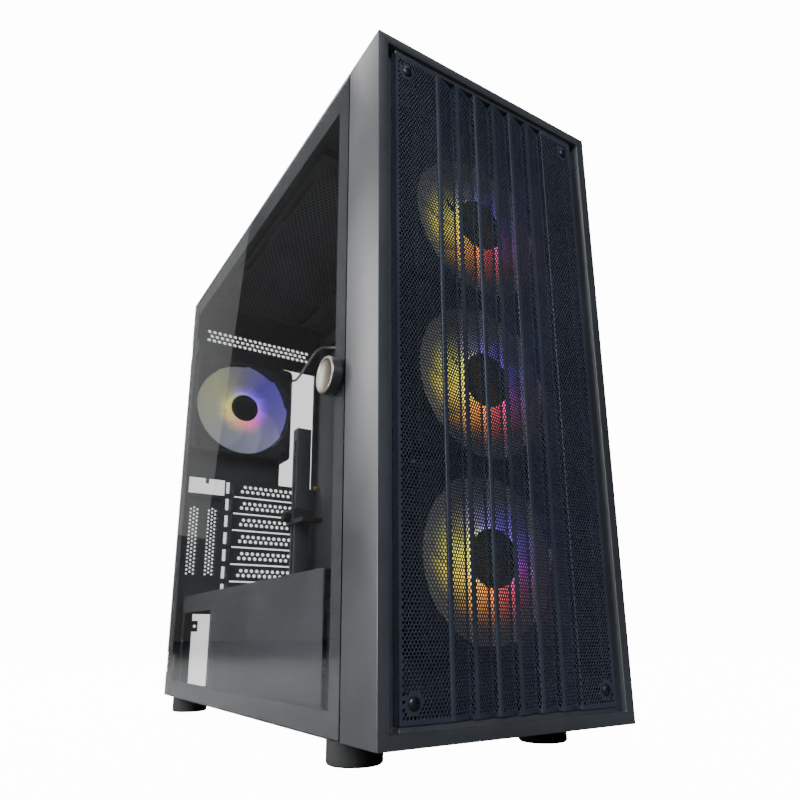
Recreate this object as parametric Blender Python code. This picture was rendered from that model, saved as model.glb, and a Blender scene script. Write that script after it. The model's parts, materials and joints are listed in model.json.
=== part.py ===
"""Mid-tower desktop computer case: pleated mesh front, hinged glass side door and fans.

The case stands on four feet. +Z is up, the front faces -Y and the glass door is on -X.
Every size below is in metres. Positions are counted from the body's front left edge at
floor level: x to the right, y to the rear and z up. The case empty carries them all.
"""

from math import cos, hypot, pi, radians, sin

import bmesh
import bpy
from mathutils import Matrix, Vector

# Overall body
CASE_W = 0.200
CASE_D = 0.460
CASE_H = 0.464
SHEET = 0.0012
GAP = 0.0003
SEAM = 0.0005

# Feet
FOOT_H = 0.016
FOOT_R = 0.0175
FOOT_SIDE = 0.0226
FOOT_FRONT_Y = 0.066
FOOT_REAR_INSET = 0.023
FOOT_RECESS_R = 0.005
FOOT_RECESS_H = 0.004

# Front bezel and its pleated mesh
BEZEL_D = 0.0425
BEZEL_WALL = 0.003
RIM_SIDE = 0.0078
RIM_TOP = 0.0073
RIM_BOTTOM = 0.0081
CHANNEL_W = 0.0068
LIP_H = 0.003
LIP_SET = 0.0025
LEDGE_Y = 0.009
LEDGE_T = 0.0025
LEDGE_W = 0.003
TAB_W = 0.017
MESH_SET = 0.002
MESH_T = 0.001
RIB_X = 0.0492
RIB_W = 0.003
PLEAT_PITCH = 0.01725
PLEAT_COUNT = 6
PLEAT_DEPTH = 0.0042
PLEAT_LEAN = 0.0006
MESH_SCREW_INSET = 0.0095
MESH_SCREW_END = 0.0115
SCREW_HEAD_R = 0.0038
SCREW_HEAD_H = 0.0017
SCREW_SHANK_R = 0.0015
SCREW_HOLE_R = 0.0019
SCREW_REACH = 0.0045

# Fans
FAN_SIZE = 0.120
FAN_T = 0.025
FAN_CORNER = 0.006
FAN_BORE_R = 0.0580
FAN_TIP_GAP = 0.0015
FAN_HUB_R = 0.0205
FAN_HUB_SET = 0.0015
FAN_MOUNT_T = 0.004
FAN_SHAFT_R = 0.0015
FAN_BEARING_CLEAR = 0.0001
FAN_BLADES = 9
FAN_BLADE_T = 0.0014
FAN_HOLE_SPACING = 0.105
FAN_HOLE_R = 0.00215
FAN_RAIL_LAP = 0.003
STRUT_W = 0.005
FRONT_FAN_COUNT = 3
FRONT_FAN_LOW_Z = 0.107
FRONT_FAN_PITCH = 0.125
REAR_FAN_X = 0.0656
REAR_FAN_DROP = 0.1325

# Glass door with its hinges and knob
DOOR_T = 0.004
DOOR_REAR_SET = 0.0008
HINGE_X_SHARE = 0.6
HINGE_SET = 0.0028
PIN_R = 0.0009
PIN_CLEAR = 0.00015
HINGE_H = 0.018
HINGE_LOW_Z = 0.025
HINGE_HIGH_DROP = 0.074
LEAF_L = 0.026
NOTCH_D = 0.0035
BRACKET_L = 0.016
KNOB_SET = 0.0148
KNOB_Z = 0.2262
KNOB_R = 0.0132
KNOB_STAND = 0.008
KNOB_RIM = 0.0026
KNOB_NECK = 0.0028
KNOB_STEM_R = 0.0025
NUT_R = 0.0055
NUT_T = 0.0020

# Right side panel with thumbscrews
PANEL_FLANGE = 0.016
THUMB_R = 0.006
THUMB_STAND = 0.0065
THUMB_SHANK_R = 0.0016
THUMB_HOLE_R = 0.0021
THUMB_REACH = 0.006
THUMB_INSET = 0.008
THUMB_END = 0.060
REAR_SET = 0.0015

# Top panel, filter and controls
PAN_DROP = 0.009
PAN_FRONT_Y = 0.122
PAN_REAR_INSET = 0.030
PAN_SIDE = 0.0205
FILTER_RIM = 0.006
FILTER_SHEET = 0.0015
FAN_SLOT_W = 0.0045
FAN_SLOT_L = 0.068
FAN_SLOT_SIDE = 0.0255
FAN_SLOT_FRONT_Y = 0.156
FAN_SLOT_PITCH = 0.104
FAN_SLOT_ROWS = 3
FAN_SLOT_END_SET = 0.004
CONTROL_SET = 0.017
CONTROL_L = 0.110
CONTROL_W = 0.016
CONTROL_H = 0.013
CONTROL_RIGHT = 0.014
POWER_R = 0.0058
RESET_R = 0.0026
POWER_OFFSET = 0.010
RESET_OFFSET = 0.023
BUTTON_TRAVEL = 0.0015
BUTTON_H = 0.0075
BUTTON_CLEAR = 0.00025
PORT_LENGTHS = (0.0132, 0.0132)
PORT_W = 0.0056
PORT_DEPTH = 0.009
PORT_OFFSETS = (0.042, 0.062)
SMALL_PORT_L = 0.009
SMALL_PORT_W = 0.0032
SMALL_PORT_OFFSET = 0.080
JACK_R = 0.0018
JACK_OFFSET = 0.094

# Rear panel openings
IO_X = 0.1225
IO_W = 0.0445
IO_Z = 0.2450
IO_H = 0.15875
SLOT_COUNT = 7
SLOT_PITCH = 0.02032
SLOT_TOP_Z = 0.2347
SLOT_X = 0.0625
SLOT_L = 0.1060
SLOT_COVER_W = 0.0184
SLOT_COVER_T = 0.001
SLOT_LAP = 0.004
SLOT_FLANGE = 0.009
VERTICAL_SLOT_X = 0.0198
VERTICAL_SLOT_PITCH = 0.0211
VERTICAL_SLOT_COUNT = 2
VERTICAL_SLOT_Z = 0.122
VERTICAL_SLOT_L = 0.098
WINDOW_X = 0.0120
WINDOW_W = 0.0425
WINDOW_Z = 0.2245
WINDOW_H = 0.019
TOOTH_W = 0.004
TOOTH_H = 0.006
PSU_X = 0.0270
PSU_W = 0.1415
PSU_Z = 0.0070
PSU_H = 0.078
PSU_EAR_W = 0.0065
PSU_EAR_L = 0.012
PSU_EAR_Z = 0.0716
PSU_EAR_HOLE_X = 0.003
PSU_EAR_HOLE_R = 0.0018
DASH_X = 0.0583
DASH_W = 0.004
DASH_L = 0.014

# Motherboard tray and power supply shroud
TRAY_X = 0.174
TRAY_FRONT_SET = 0.004
SHROUD_X = 0.012
SHROUD_FRONT_Y = 0.088
SHROUD_TOP = 0.103
SHROUD_CUT_Y = 0.3390
SHROUD_CUT_L = 0.095
SHROUD_CUT_Z = 0.014
SHROUD_CUT_H = 0.071
SHROUD_SLOT_W = 0.018
SHROUD_SLOT_L = 0.070
SHROUD_SLOT_SIDE = 0.010
SHROUD_SLOT_YS = (0.150, 0.300)
CPU_CUT_Y = 0.285
CPU_CUT_L = 0.115
CPU_CUT_Z = 0.285
CPU_CUT_H = 0.110
CABLE_SLOT_SET = 0.010
CABLE_SLOT_W = 0.026
CABLE_SLOT_H = 0.078
CABLE_SLOT_COUNT = 3
CABLE_SLOT_Z = 0.125
CABLE_SLOT_PITCH = 0.098
LEAD_SLOT_Y = 0.400
LEAD_SLOT_L = 0.034
LEAD_SLOT_DROP = 0.030
LEAD_SLOT_H = 0.014
BAY_CUT_Y = 0.240
BAY_CUT_L = 0.195
BAY_CUT_Z = 0.012
BAY_CUT_H = 0.076

# Drive cage with two trays, under the shroud
CAGE_X = 0.020
CAGE_Y = 0.097
CAGE_L = 0.116
CAGE_H = 0.072
CAGE_T = 0.0012
DRIVE_TRAY_COUNT = 2
DRIVE_TRAY_H = 0.026
DRIVE_TRAY_T = 0.002
DRIVE_TRAY_FACE = 0.004
DRIVE_TRAY_PLAY = 0.001

# Graphics card support on the shroud
POST_X = 0.0785
POST_W = 0.0150
POST_Y = 0.2960
POST_D = 0.0120
POST_TOP = 0.270
POST_FOOT_W = 0.034
POST_FOOT_T = 0.0025
POST_SLOT_W = 0.005
POST_SLOT_END = 0.012
ARM_Z = 0.1760
ARM_H = 0.016
ARM_WALL = 0.003
ARM_PLAY = 0.0004
ARM_REACH = 0.022
ARM_T = 0.004
ARM_KNOB_R = 0.0055
ARM_KNOB_L = 0.007

# Rear fan lead, its controller, and the drive bracket behind the tray
CONTROLLER_Y = 0.290
CONTROLLER_L = 0.072
CONTROLLER_DROP = 0.060
CONTROLLER_H = 0.024
CONTROLLER_T = 0.012
SSD_Y = 0.150
SSD_Z = 0.300
SSD_L = 0.102
SSD_H = 0.072
SSD_T = 0.008
LEAD_R = 0.0016
LEAD_DROP = 0.008
LEAD_RISE = 0.004
LEAD_STRAIGHT = 0.010
LEAD_SPACING = 0.008
LEAD_STEPS = 40

# Power supply filter under the floor
FILTER_W = 0.108
FILTER_L = 0.165
FILTER_T = 0.003
RAIL_T = 0.0012
RAIL_LIP = 0.004
FLOOR_SLOT_COUNT = 9
FLOOR_SLOT_W = 0.006
FLOOR_SLOT_PITCH = 0.011
FLOOR_SLOT_L = 0.110

# Derived planes
BOTTOM = FOOT_H
TOP = FOOT_H + CASE_H
HINGE_X = DOOR_T * HINGE_X_SHARE
HINGE_Y = CASE_D - HINGE_SET
DOOR_REAR = CASE_D - DOOR_REAR_SET
LEAF_T = SHEET
KNUCKLE_R = DOOR_T - HINGE_X + 2 * GAP
LEAF_FACE = DOOR_T + GAP + LEAF_T
DOOR_SWEEP = max(hypot(HINGE_X, DOOR_REAR - HINGE_Y), LEAF_FACE - HINGE_X)
CHASSIS_LEFT = HINGE_X + DOOR_SWEEP + GAP
CHASSIS_RIGHT = CASE_W - SHEET - GAP
CHASSIS_FRONT = BEZEL_D + SEAM
KNOB_Y = CHASSIS_FRONT + KNOB_SET
CONTROL_Y = CHASSIS_FRONT + CONTROL_SET
REAR_OUT = CASE_D - REAR_SET
REAR_IN = REAR_OUT - SHEET
FLOOR_TOP = BOTTOM + SHEET
TRAY_FRONT_Y = CONTROL_Y + CONTROL_W / 2 + TRAY_FRONT_SET
CABLE_SLOT_Y = TRAY_FRONT_Y + CABLE_SLOT_SET
CEILING = TOP - PAN_DROP
SHROUD_Z = BOTTOM + SHROUD_TOP
FAN_FRONT_Y = CHASSIS_FRONT - GAP - FAN_T
REAR_FAN_Y = REAR_IN - GAP - FAN_T
CASE_ORIGIN = (-(CASE_W - KNOB_STAND) / 2, -(CASE_D + THUMB_STAND) / 2, 0.0)

# Finishes: colour, roughness, metallic
DARK_PAINT = ((0.045, 0.048, 0.053), 0.45, 0.2)
MESH_PAINT = ((0.012, 0.013, 0.016), 0.5, 0.3)
STEEL_PAINT = ((0.035, 0.036, 0.04), 0.55, 0.2)
BLACK_PLASTIC = ((0.012, 0.012, 0.013), 0.5, 0.0)
RUBBER = ((0.01, 0.01, 0.01), 0.85, 0.0)
FROSTED = ((0.75, 0.72, 0.85), 0.35, 0.0)
TINTED_GLASS = ((0.06, 0.065, 0.07), 0.05, 0.0)
CHAMPAGNE = ((0.72, 0.62, 0.52), 0.3, 0.9)
BARE_STEEL = ((0.6, 0.6, 0.6), 0.3, 1.0)
PALE_CABLE = ((0.55, 0.55, 0.56), 0.6, 0.0)

AXIS_TURN = {
    "X": Matrix.Rotation(pi / 2, 4, "Y"),
    "Y": Matrix.Rotation(-pi / 2, 4, "X"),
    "Z": Matrix.Identity(4),
}
AXIS_INDEX = {"X": 0, "Y": 1, "Z": 2}


# Shapes: each of these returns a stamp, a function that adds one closed body to a bmesh.

def box(low, high):
    """A box between two corners."""
    size = [b - a for a, b in zip(low, high)]
    middle = [(a + b) / 2 for a, b in zip(low, high)]

    def stamp(mesh):
        place = Matrix.Translation(middle) @ Matrix.Diagonal((*size, 1.0))
        bmesh.ops.create_cube(mesh, size=1.0, matrix=place)

    return stamp


def rod(axis, centre, start, end, radius, segments=32, end_radius=None):
    """A cylinder or cone along an axis, from start to end on it."""
    middle = list(centre)
    middle[AXIS_INDEX[axis]] = (start + end) / 2

    def stamp(mesh):
        bmesh.ops.create_cone(
            mesh, cap_ends=True, segments=segments, radius1=radius,
            radius2=radius if end_radius is None else end_radius, depth=end - start,
            matrix=Matrix.Translation(middle) @ AXIS_TURN[axis])

    return stamp


def prism(axis, outline, start, end):
    """An outline extruded along an axis. Its points hold the other two coordinates."""
    def at(point, along):
        spot = list(point)
        spot.insert(AXIS_INDEX[axis], along)
        return spot

    def stamp(mesh):
        corners = [mesh.verts.new(at(point, start)) for point in outline]
        face = mesh.faces.new(corners)
        grown = bmesh.ops.extrude_face_region(mesh, geom=[face])
        moved = [item for item in grown["geom"] if isinstance(item, bmesh.types.BMVert)]
        shift = Vector((0, 0, 0))
        shift[AXIS_INDEX[axis]] = end - start
        bmesh.ops.translate(mesh, vec=shift, verts=moved)

    return stamp


def turned(axis, centre, profile, segments=32):
    """A profile of (distance, radius) points turned around an axis; it ends on the axis."""
    def stamp(mesh):
        place = Matrix.Translation(centre) @ AXIS_TURN[axis]
        points = [mesh.verts.new(place @ Vector((radius, 0, along))) for along, radius in profile]
        edges = [mesh.edges.new(pair) for pair in zip(points, points[1:])]
        bmesh.ops.spin(
            mesh, geom=points + edges, cent=centre, axis=place.to_3x3() @ Vector((0, 0, 1)),
            angle=2 * pi, steps=segments, use_merge=True)
        bmesh.ops.remove_doubles(mesh, verts=mesh.verts, dist=1e-6)

    return stamp


def rounded(low, high, radius, steps=4):
    """Outline of a rectangle with round corners."""
    points = []
    corners = ((high[0], high[1], 0), (low[0], high[1], 1), (low[0], low[1], 2), (high[0], low[1], 3))
    for x, y, turn in corners:
        centre_x = x + (-radius if turn in (0, 3) else radius)
        centre_y = y + (-radius if turn in (0, 1) else radius)
        for step in range(steps + 1):
            angle = (turn + step / steps) * pi / 2
            points.append((centre_x + radius * cos(angle), centre_y + radius * sin(angle)))
    return points


# Objects

def clear_scene():
    for item in list(bpy.data.objects):
        bpy.data.objects.remove(item, do_unlink=True)


def finish_for(name, finish):
    colour, roughness, metallic = finish
    material = bpy.data.materials.new(name)
    material.use_nodes = True
    shader = material.node_tree.nodes["Principled BSDF"]
    shader.inputs["Base Color"].default_value = (*colour, 1.0)
    shader.inputs["Roughness"].default_value = roughness
    shader.inputs["Metallic"].default_value = metallic
    return material


def pivot(name, spot):
    """An empty on a joint's axis, at a position of the case."""
    empty = bpy.data.objects.new(name, None)
    empty.location = Vector(spot)
    empty.parent = CASE
    bpy.context.collection.objects.link(empty)
    return empty


def raw_object(name, stamps, origin, parent):
    """Mesh object of one or more bodies, with its origin at a position of the case."""
    mesh = bmesh.new()
    for stamp in stamps:
        stamp(mesh)
    bmesh.ops.recalc_face_normals(mesh, faces=mesh.faces)
    bmesh.ops.translate(mesh, vec=-Vector(origin), verts=mesh.verts)
    data = bpy.data.meshes.new(name)
    mesh.to_mesh(data)
    mesh.free()
    data.shade_smooth()
    data.set_sharp_from_angle(angle=radians(30))
    made = bpy.data.objects.new(name, data)
    made.parent = parent
    base = Vector((0, 0, 0)) if parent == CASE else parent.location
    made.location = Vector(origin) - base
    bpy.context.collection.objects.link(made)
    return made


def add_boolean(target, name, operation, stamps, origin, parent):
    helper = raw_object(name, stamps, origin, parent)
    helper.hide_render = True
    helper.display_type = "WIRE"
    change = target.modifiers.new(name, "BOOLEAN")
    change.operation = operation
    change.solver = "EXACT"
    change.object = helper


def piece(name, body, finish, plus=(), minus=(), origin=None, parent=None):
    """One sub-part: a body, joined with each group in plus, then cut by each group in minus.

    A group is a list of stamps whose bodies don't touch each other.
    """
    parent = parent or CASE
    origin = origin or (0.0, 0.0, 0.0)
    made = raw_object(name, [body], origin, parent)
    made.data.materials.append(finish_for(name, finish))
    for number, group in enumerate(plus):
        add_boolean(made, f"{name}_add_{number}", "UNION", group, origin, parent)
    for number, group in enumerate(minus):
        add_boolean(made, f"{name}_cut_{number}", "DIFFERENCE", group, origin, parent)
    return made


# Front

def bezel_inner(side, low, high):
    """Corners of a rectangle inside the bezel's front, from its side, bottom and top insets."""
    return (side, BOTTOM + low), (CASE_W - side, TOP - high)


def mesh_screw_spots():
    side = RIM_SIDE + CHANNEL_W + MESH_SCREW_INSET
    low = BOTTOM + RIM_BOTTOM + LIP_H + MESH_SCREW_END
    high = TOP - RIM_TOP - LIP_H - MESH_SCREW_END
    return [(x, z) for z in (high, low) for x in (side, CASE_W - side)]


def make_bezel(parent):
    """Deep plastic frame: a solid rim, a recessed ledge for the mesh, and thin walls behind."""
    channel = RIM_SIDE + CHANNEL_W
    ledge = channel + LEDGE_W
    ledge_back = LEDGE_Y + LEDGE_T
    low, high = bezel_inner(RIM_SIDE, RIM_BOTTOM, RIM_TOP)
    lip_low, lip_high = bezel_inner(channel, RIM_BOTTOM + LIP_H, RIM_TOP + LIP_H)
    pocket = [
        (low[0], low[1]), (lip_low[0], low[1]), (lip_low[0], lip_low[1]),
        (lip_high[0], lip_low[1]), (lip_high[0], low[1]), (high[0], low[1]),
        (high[0], high[1]), (lip_high[0], high[1]), (lip_high[0], lip_high[1]),
        (lip_low[0], lip_high[1]), (lip_low[0], high[1]), (low[0], high[1])]
    open_low, open_high = bezel_inner(ledge, RIM_BOTTOM + LIP_H + LEDGE_W, RIM_TOP + LIP_H + LEDGE_W)
    window = [
        (open_low[0] + TAB_W, open_low[1]), (open_high[0] - TAB_W, open_low[1]),
        (open_high[0] - TAB_W, open_low[1] + TAB_W), (open_high[0], open_low[1] + TAB_W),
        (open_high[0], open_high[1] - TAB_W), (open_high[0] - TAB_W, open_high[1] - TAB_W),
        (open_high[0] - TAB_W, open_high[1]), (open_low[0] + TAB_W, open_high[1]),
        (open_low[0] + TAB_W, open_high[1] - TAB_W), (open_low[0], open_high[1] - TAB_W),
        (open_low[0], open_low[1] + TAB_W), (open_low[0] + TAB_W, open_low[1] + TAB_W)]
    holes = [rod("Y", (x, 0, z), LEDGE_Y - LEDGE_T, ledge_back + LEDGE_T, SCREW_HOLE_R, 12)
             for x, z in mesh_screw_spots()]
    piece(
        "front_bezel", box((0, 0, BOTTOM), (CASE_W, BEZEL_D, TOP)), DARK_PAINT, parent=parent,
        minus=[
            [box((BEZEL_WALL, ledge_back, BOTTOM + BEZEL_WALL),
                 (CASE_W - BEZEL_WALL, BEZEL_D + LEDGE_T, TOP - BEZEL_WALL))],
            [box((low[0], -LEDGE_T, low[1]), (high[0], LIP_SET, high[1]))],
            [prism("Y", pocket, LIP_SET / 2, LEDGE_Y)],
            [prism("Y", window, LEDGE_Y / 2, ledge_back + LEDGE_T)],
            holes])


def pleat_line(offset):
    """Plan of the mesh from left to right; offset moves it to the sheet's back face."""
    side = RIM_SIDE + CHANNEL_W + GAP
    front = MESH_SET + offset
    back = LEDGE_Y - GAP
    points = [(side + offset, back), (side + offset, front)]
    for bay in range(PLEAT_COUNT):
        x = RIB_X + bay * PLEAT_PITCH
        next_x = x + PLEAT_PITCH
        points.append((x + RIB_W - offset / 2, front))
        points.append((next_x - PLEAT_LEAN + offset / 2, front + PLEAT_DEPTH))
        points.append((next_x + offset, front))
    points += [(CASE_W - side - offset, front), (CASE_W - side - offset, back)]
    return points


def make_mesh(parent):
    """Pleated sheet with flat sides, folded back to the bezel's ledge."""
    outline = pleat_line(0.0) + pleat_line(MESH_T)[::-1]
    low = BOTTOM + RIM_BOTTOM + LIP_H + GAP
    high = TOP - RIM_TOP - LIP_H - GAP
    holes = [rod("Y", (x, 0, z), -MESH_SET, LEDGE_Y, SCREW_HOLE_R, 12) for x, z in mesh_screw_spots()]
    piece("front_mesh", prism("Z", outline, low, high), MESH_PAINT, minus=[holes], parent=parent)
    for number, (x, z) in enumerate(mesh_screw_spots(), start=1):
        seat = MESH_SET - GAP
        profile = [(seat + LEDGE_Y + SCREW_REACH, 0), (seat + LEDGE_Y + SCREW_REACH, SCREW_SHANK_R),
                   (seat, SCREW_SHANK_R), (seat, SCREW_HEAD_R), (seat - SCREW_HEAD_H * 0.5, SCREW_HEAD_R * 0.9),
                   (seat - SCREW_HEAD_H, SCREW_HEAD_R * 0.45), (seat - SCREW_HEAD_H, 0)]
        piece(f"mesh_screw_{number}", turned("Y", (x, 0, z), profile, 16), STEEL_PAINT, parent=parent)


def make_bulkhead():
    """Front sheet of the chassis. The front fans bridge its tall opening."""
    margin = (FAN_SIZE - FAN_HOLE_SPACING) / 2 + FAN_RAIL_LAP
    left = CASE_W / 2 - FAN_SIZE / 2 + margin
    low = BOTTOM + FRONT_FAN_LOW_Z - FAN_SIZE / 2 + margin
    high = low + FAN_SIZE - 2 * margin + (FRONT_FAN_COUNT - 1) * FRONT_FAN_PITCH
    piece(
        "front_bulkhead",
        box((CHASSIS_LEFT, CHASSIS_FRONT, FLOOR_TOP + GAP),
            (CHASSIS_RIGHT, CHASSIS_FRONT + SHEET, TOP - SHEET - GAP)),
        STEEL_PAINT,
        minus=[[box((left, CHASSIS_FRONT - SHEET, low),
                    (CASE_W - left, CHASSIS_FRONT + 2 * SHEET, high))]])


# Fans

def fan_frame(name, x, y, z):
    """Square fan frame with a bore, corner holes, and a motor mount on four struts."""
    half = FAN_SIZE / 2
    back = y + FAN_T
    mount = back - FAN_MOUNT_T
    outline = rounded((x - half, z - half), (x + half, z + half), FAN_CORNER)
    arm = FAN_BORE_R + FAN_TIP_GAP
    struts = [
        box((x - arm, mount, z - STRUT_W / 2), (x + arm, back, z + STRUT_W / 2)),
        box((x - STRUT_W / 2, mount, z - arm), (x + STRUT_W / 2, back, z + arm))]
    spread = FAN_HOLE_SPACING / 2
    holes = [rod("Y", (x + i * spread, 0, z + j * spread), y - FAN_T, back + FAN_T, FAN_HOLE_R, 12)
             for i in (-1, 1) for j in (-1, 1)]
    made = piece(
        name, prism("Y", outline, y, back), BLACK_PLASTIC, origin=(x, y, z),
        minus=[[rod("Y", (x, 0, z), y - FAN_T, back + FAN_T, FAN_BORE_R, 40)], holes])
    for number, strut in enumerate(struts):
        add_boolean(made, f"{name}_strut_{number}", "UNION", [strut], (x, y, z), CASE)
    mount_disc = rod("Y", (x, 0, z), mount, back, FAN_HUB_R + FAN_TIP_GAP / 2, 32)
    add_boolean(made, f"{name}_mount", "UNION", [mount_disc], (x, y, z), CASE)
    bearing = rod("Y", (x, 0, z), mount - FAN_MOUNT_T, back - SHEET,
                  FAN_SHAFT_R + FAN_BEARING_CLEAR, 12)
    add_boolean(made, f"{name}_bearing", "DIFFERENCE", [bearing], (x, y, z), CASE)


def blade(x, y, z, turn):
    """One swept blade, a thin closed strip from inside the hub to the tip."""
    inner = FAN_HUB_R - FAN_TIP_GAP
    outer = FAN_BORE_R - FAN_TIP_GAP
    front = y + FAN_HUB_SET + FAN_BLADE_T
    depth = FAN_T - FAN_MOUNT_T - FAN_HUB_SET - 3 * FAN_BLADE_T
    across = 3
    along = 2

    def stamp(mesh):
        sheets = []
        for side in (-0.5, 0.5):
            rows = []
            for i in range(across + 1):
                share = i / across
                radius = inner + (outer - inner) * share
                sweep = turn + radians(16) * share * share
                row = []
                for j in range(along + 1):
                    chord = j / along
                    angle = sweep + radians(30 - 3 * share) * chord
                    axial = front + depth * (chord - 0.12 * sin(pi * chord)) + side * FAN_BLADE_T
                    row.append(mesh.verts.new((x + radius * cos(angle), axial, z + radius * sin(angle))))
                rows.append(row)
            sheets.append(rows)
        for i in range(across):
            for j in range(along):
                for rows in sheets:
                    mesh.faces.new((rows[i][j], rows[i + 1][j], rows[i + 1][j + 1], rows[i][j + 1]))
        lower, upper = sheets
        for i in range(across):
            for j in (0, along):
                mesh.faces.new((lower[i][j], lower[i + 1][j], upper[i + 1][j], upper[i][j]))
        for j in range(along):
            for i in (0, across):
                mesh.faces.new((lower[i][j], lower[i][j + 1], upper[i][j + 1], upper[i][j]))

    return stamp


def fan_rotor(name, x, y, z):
    """Hub with its shaft and swept blades, on the fan's axis."""
    front = y + FAN_HUB_SET
    back = y + FAN_T - FAN_MOUNT_T - GAP
    shaft_end = y + FAN_T - SHEET - GAP
    axle = pivot(f"{name}_axle", (x, y, z))
    profile = [(shaft_end, 0), (shaft_end, FAN_SHAFT_R), (back, FAN_SHAFT_R), (back, FAN_HUB_R),
               (front + SHEET, FAN_HUB_R), (front, FAN_HUB_R - SHEET), (front, 0)]
    blades = [blade(x, y, z, number * 2 * pi / FAN_BLADES) for number in range(FAN_BLADES)]
    piece(name, turned("Y", (x, 0, z), profile, 28), FROSTED,
          plus=[blades], origin=(x, y, z), parent=axle)


def make_fans():
    for number in range(FRONT_FAN_COUNT):
        z = BOTTOM + FRONT_FAN_LOW_Z + number * FRONT_FAN_PITCH
        fan_frame(f"front_fan_frame_{number + 1}", CASE_W / 2, FAN_FRONT_Y, z)
        fan_rotor(f"front_fan_rotor_{number + 1}", CASE_W / 2, FAN_FRONT_Y, z)
    fan_frame("rear_fan_frame", REAR_FAN_X, REAR_FAN_Y, TOP - REAR_FAN_DROP)
    fan_rotor("rear_fan_rotor", REAR_FAN_X, REAR_FAN_Y, TOP - REAR_FAN_DROP)


# Chassis

def expansion_window():
    """Lowest and highest (x, z) of the opening that the horizontal slot covers close."""
    low_z = slot_z(SLOT_COUNT - 0.5) + SLOT_LAP / 2
    high_z = slot_z(-0.5) - SLOT_LAP / 2
    return (SLOT_X + SLOT_LAP, low_z), (SLOT_X + SLOT_L - SLOT_LAP, high_z)


def vertical_slot_x(number):
    return VERTICAL_SLOT_X + number * VERTICAL_SLOT_PITCH


def thumbscrew_spots():
    x = CASE_W - THUMB_INSET
    return {"upper": (x, TOP - THUMB_END), "lower": (x, BOTTOM + THUMB_END)}


def slot_z(number):
    return BOTTOM + SLOT_TOP_Z - number * SLOT_PITCH


def supply_opening():
    """Outline of the power supply's opening, with a screw ear in its left side."""
    low, high = BOTTOM + PSU_Z, BOTTOM + PSU_Z + PSU_H
    right, ear = PSU_X + PSU_W, PSU_X + PSU_EAR_W
    ear_low = BOTTOM + PSU_EAR_Z - PSU_EAR_L / 2
    ear_high = BOTTOM + PSU_EAR_Z + PSU_EAR_L / 2
    return [
        (PSU_X, low), (right, low), (right, high), (PSU_X, high),
        (PSU_X, ear_high), (ear, ear_high), (ear, ear_low), (PSU_X, ear_low)]


def make_rear_panel():
    """Rear sheet with the ports' opening, slot openings, supply opening and small slots."""
    near, far = REAR_IN - SHEET, REAR_OUT + SHEET
    io_low = BOTTOM + IO_Z
    (slot_x0, slot_z0), (slot_x1, slot_z1) = expansion_window()
    tooth = WINDOW_X + WINDOW_W / 2
    window_low = BOTTOM + WINDOW_Z
    window_high = window_low + WINDOW_H
    window = [
        (WINDOW_X, window_low), (WINDOW_X + WINDOW_W, window_low), (WINDOW_X + WINDOW_W, window_high),
        (tooth + TOOTH_W / 2, window_high), (tooth + TOOTH_W / 2, window_high - TOOTH_H),
        (tooth - TOOTH_W / 2, window_high - TOOTH_H), (tooth - TOOTH_W / 2, window_high),
        (WINDOW_X, window_high)]
    verticals = [
        box((vertical_slot_x(number) - SLOT_COVER_W / 2 + SLOT_LAP / 2, near,
             BOTTOM + VERTICAL_SLOT_Z + SLOT_LAP),
            (vertical_slot_x(number) + SLOT_COVER_W / 2 - SLOT_LAP / 2, far,
             BOTTOM + VERTICAL_SLOT_Z + VERTICAL_SLOT_L - SLOT_LAP))
        for number in range(VERTICAL_SLOT_COUNT)]
    holes = [rod("Y", (x, 0, z), near, far, THUMB_HOLE_R, 12) for x, z in thumbscrew_spots().values()]
    holes.append(rod("Y", (PSU_X + PSU_EAR_HOLE_X, 0, BOTTOM + PSU_EAR_Z), near, far, PSU_EAR_HOLE_R, 12))
    dashes = [
        box((DASH_X - DASH_W / 2, near, slot_z(number) - DASH_L / 2),
            (DASH_X + DASH_W / 2, far, slot_z(number) + DASH_L / 2))
        for number in range(SLOT_COUNT)]
    openings = [
        box((IO_X, near, io_low), (IO_X + IO_W, far, io_low + IO_H)),
        box((slot_x0, near, slot_z0), (slot_x1, far, slot_z1)),
        prism("Y", supply_opening(), near, far),
        prism("Y", window, near, far)]
    piece("rear_panel", box((CHASSIS_LEFT, REAR_IN, BOTTOM), (CHASSIS_RIGHT, REAR_OUT, TOP)),
          STEEL_PAINT, minus=[openings + verticals, dashes, holes])


def make_slot_covers():
    """Blanking plates inside the rear panel, each with a screw flange bent inwards."""
    face = REAR_IN - GAP
    for number in range(SLOT_COUNT):
        z = slot_z(number)
        outline = [
            (SLOT_X, face), (SLOT_X + SLOT_L, face), (SLOT_X + SLOT_L, face - SLOT_COVER_T),
            (SLOT_X + SLOT_COVER_T, face - SLOT_COVER_T), (SLOT_X + SLOT_COVER_T, face - SLOT_FLANGE),
            (SLOT_X, face - SLOT_FLANGE)]
        piece(f"slot_cover_{number + 1}",
              prism("Z", outline, z - SLOT_COVER_W / 2, z + SLOT_COVER_W / 2), STEEL_PAINT)
    for number in range(VERTICAL_SLOT_COUNT):
        x = vertical_slot_x(number)
        low = BOTTOM + VERTICAL_SLOT_Z
        top = low + VERTICAL_SLOT_L
        outline = [
            (face, low), (face, top), (face - SLOT_FLANGE, top), (face - SLOT_FLANGE, top - SLOT_COVER_T),
            (face - SLOT_COVER_T, top - SLOT_COVER_T), (face - SLOT_COVER_T, low)]
        piece(f"vertical_slot_cover_{number + 1}",
              prism("X", outline, x - SLOT_COVER_W / 2, x + SLOT_COVER_W / 2), STEEL_PAINT)


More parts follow.
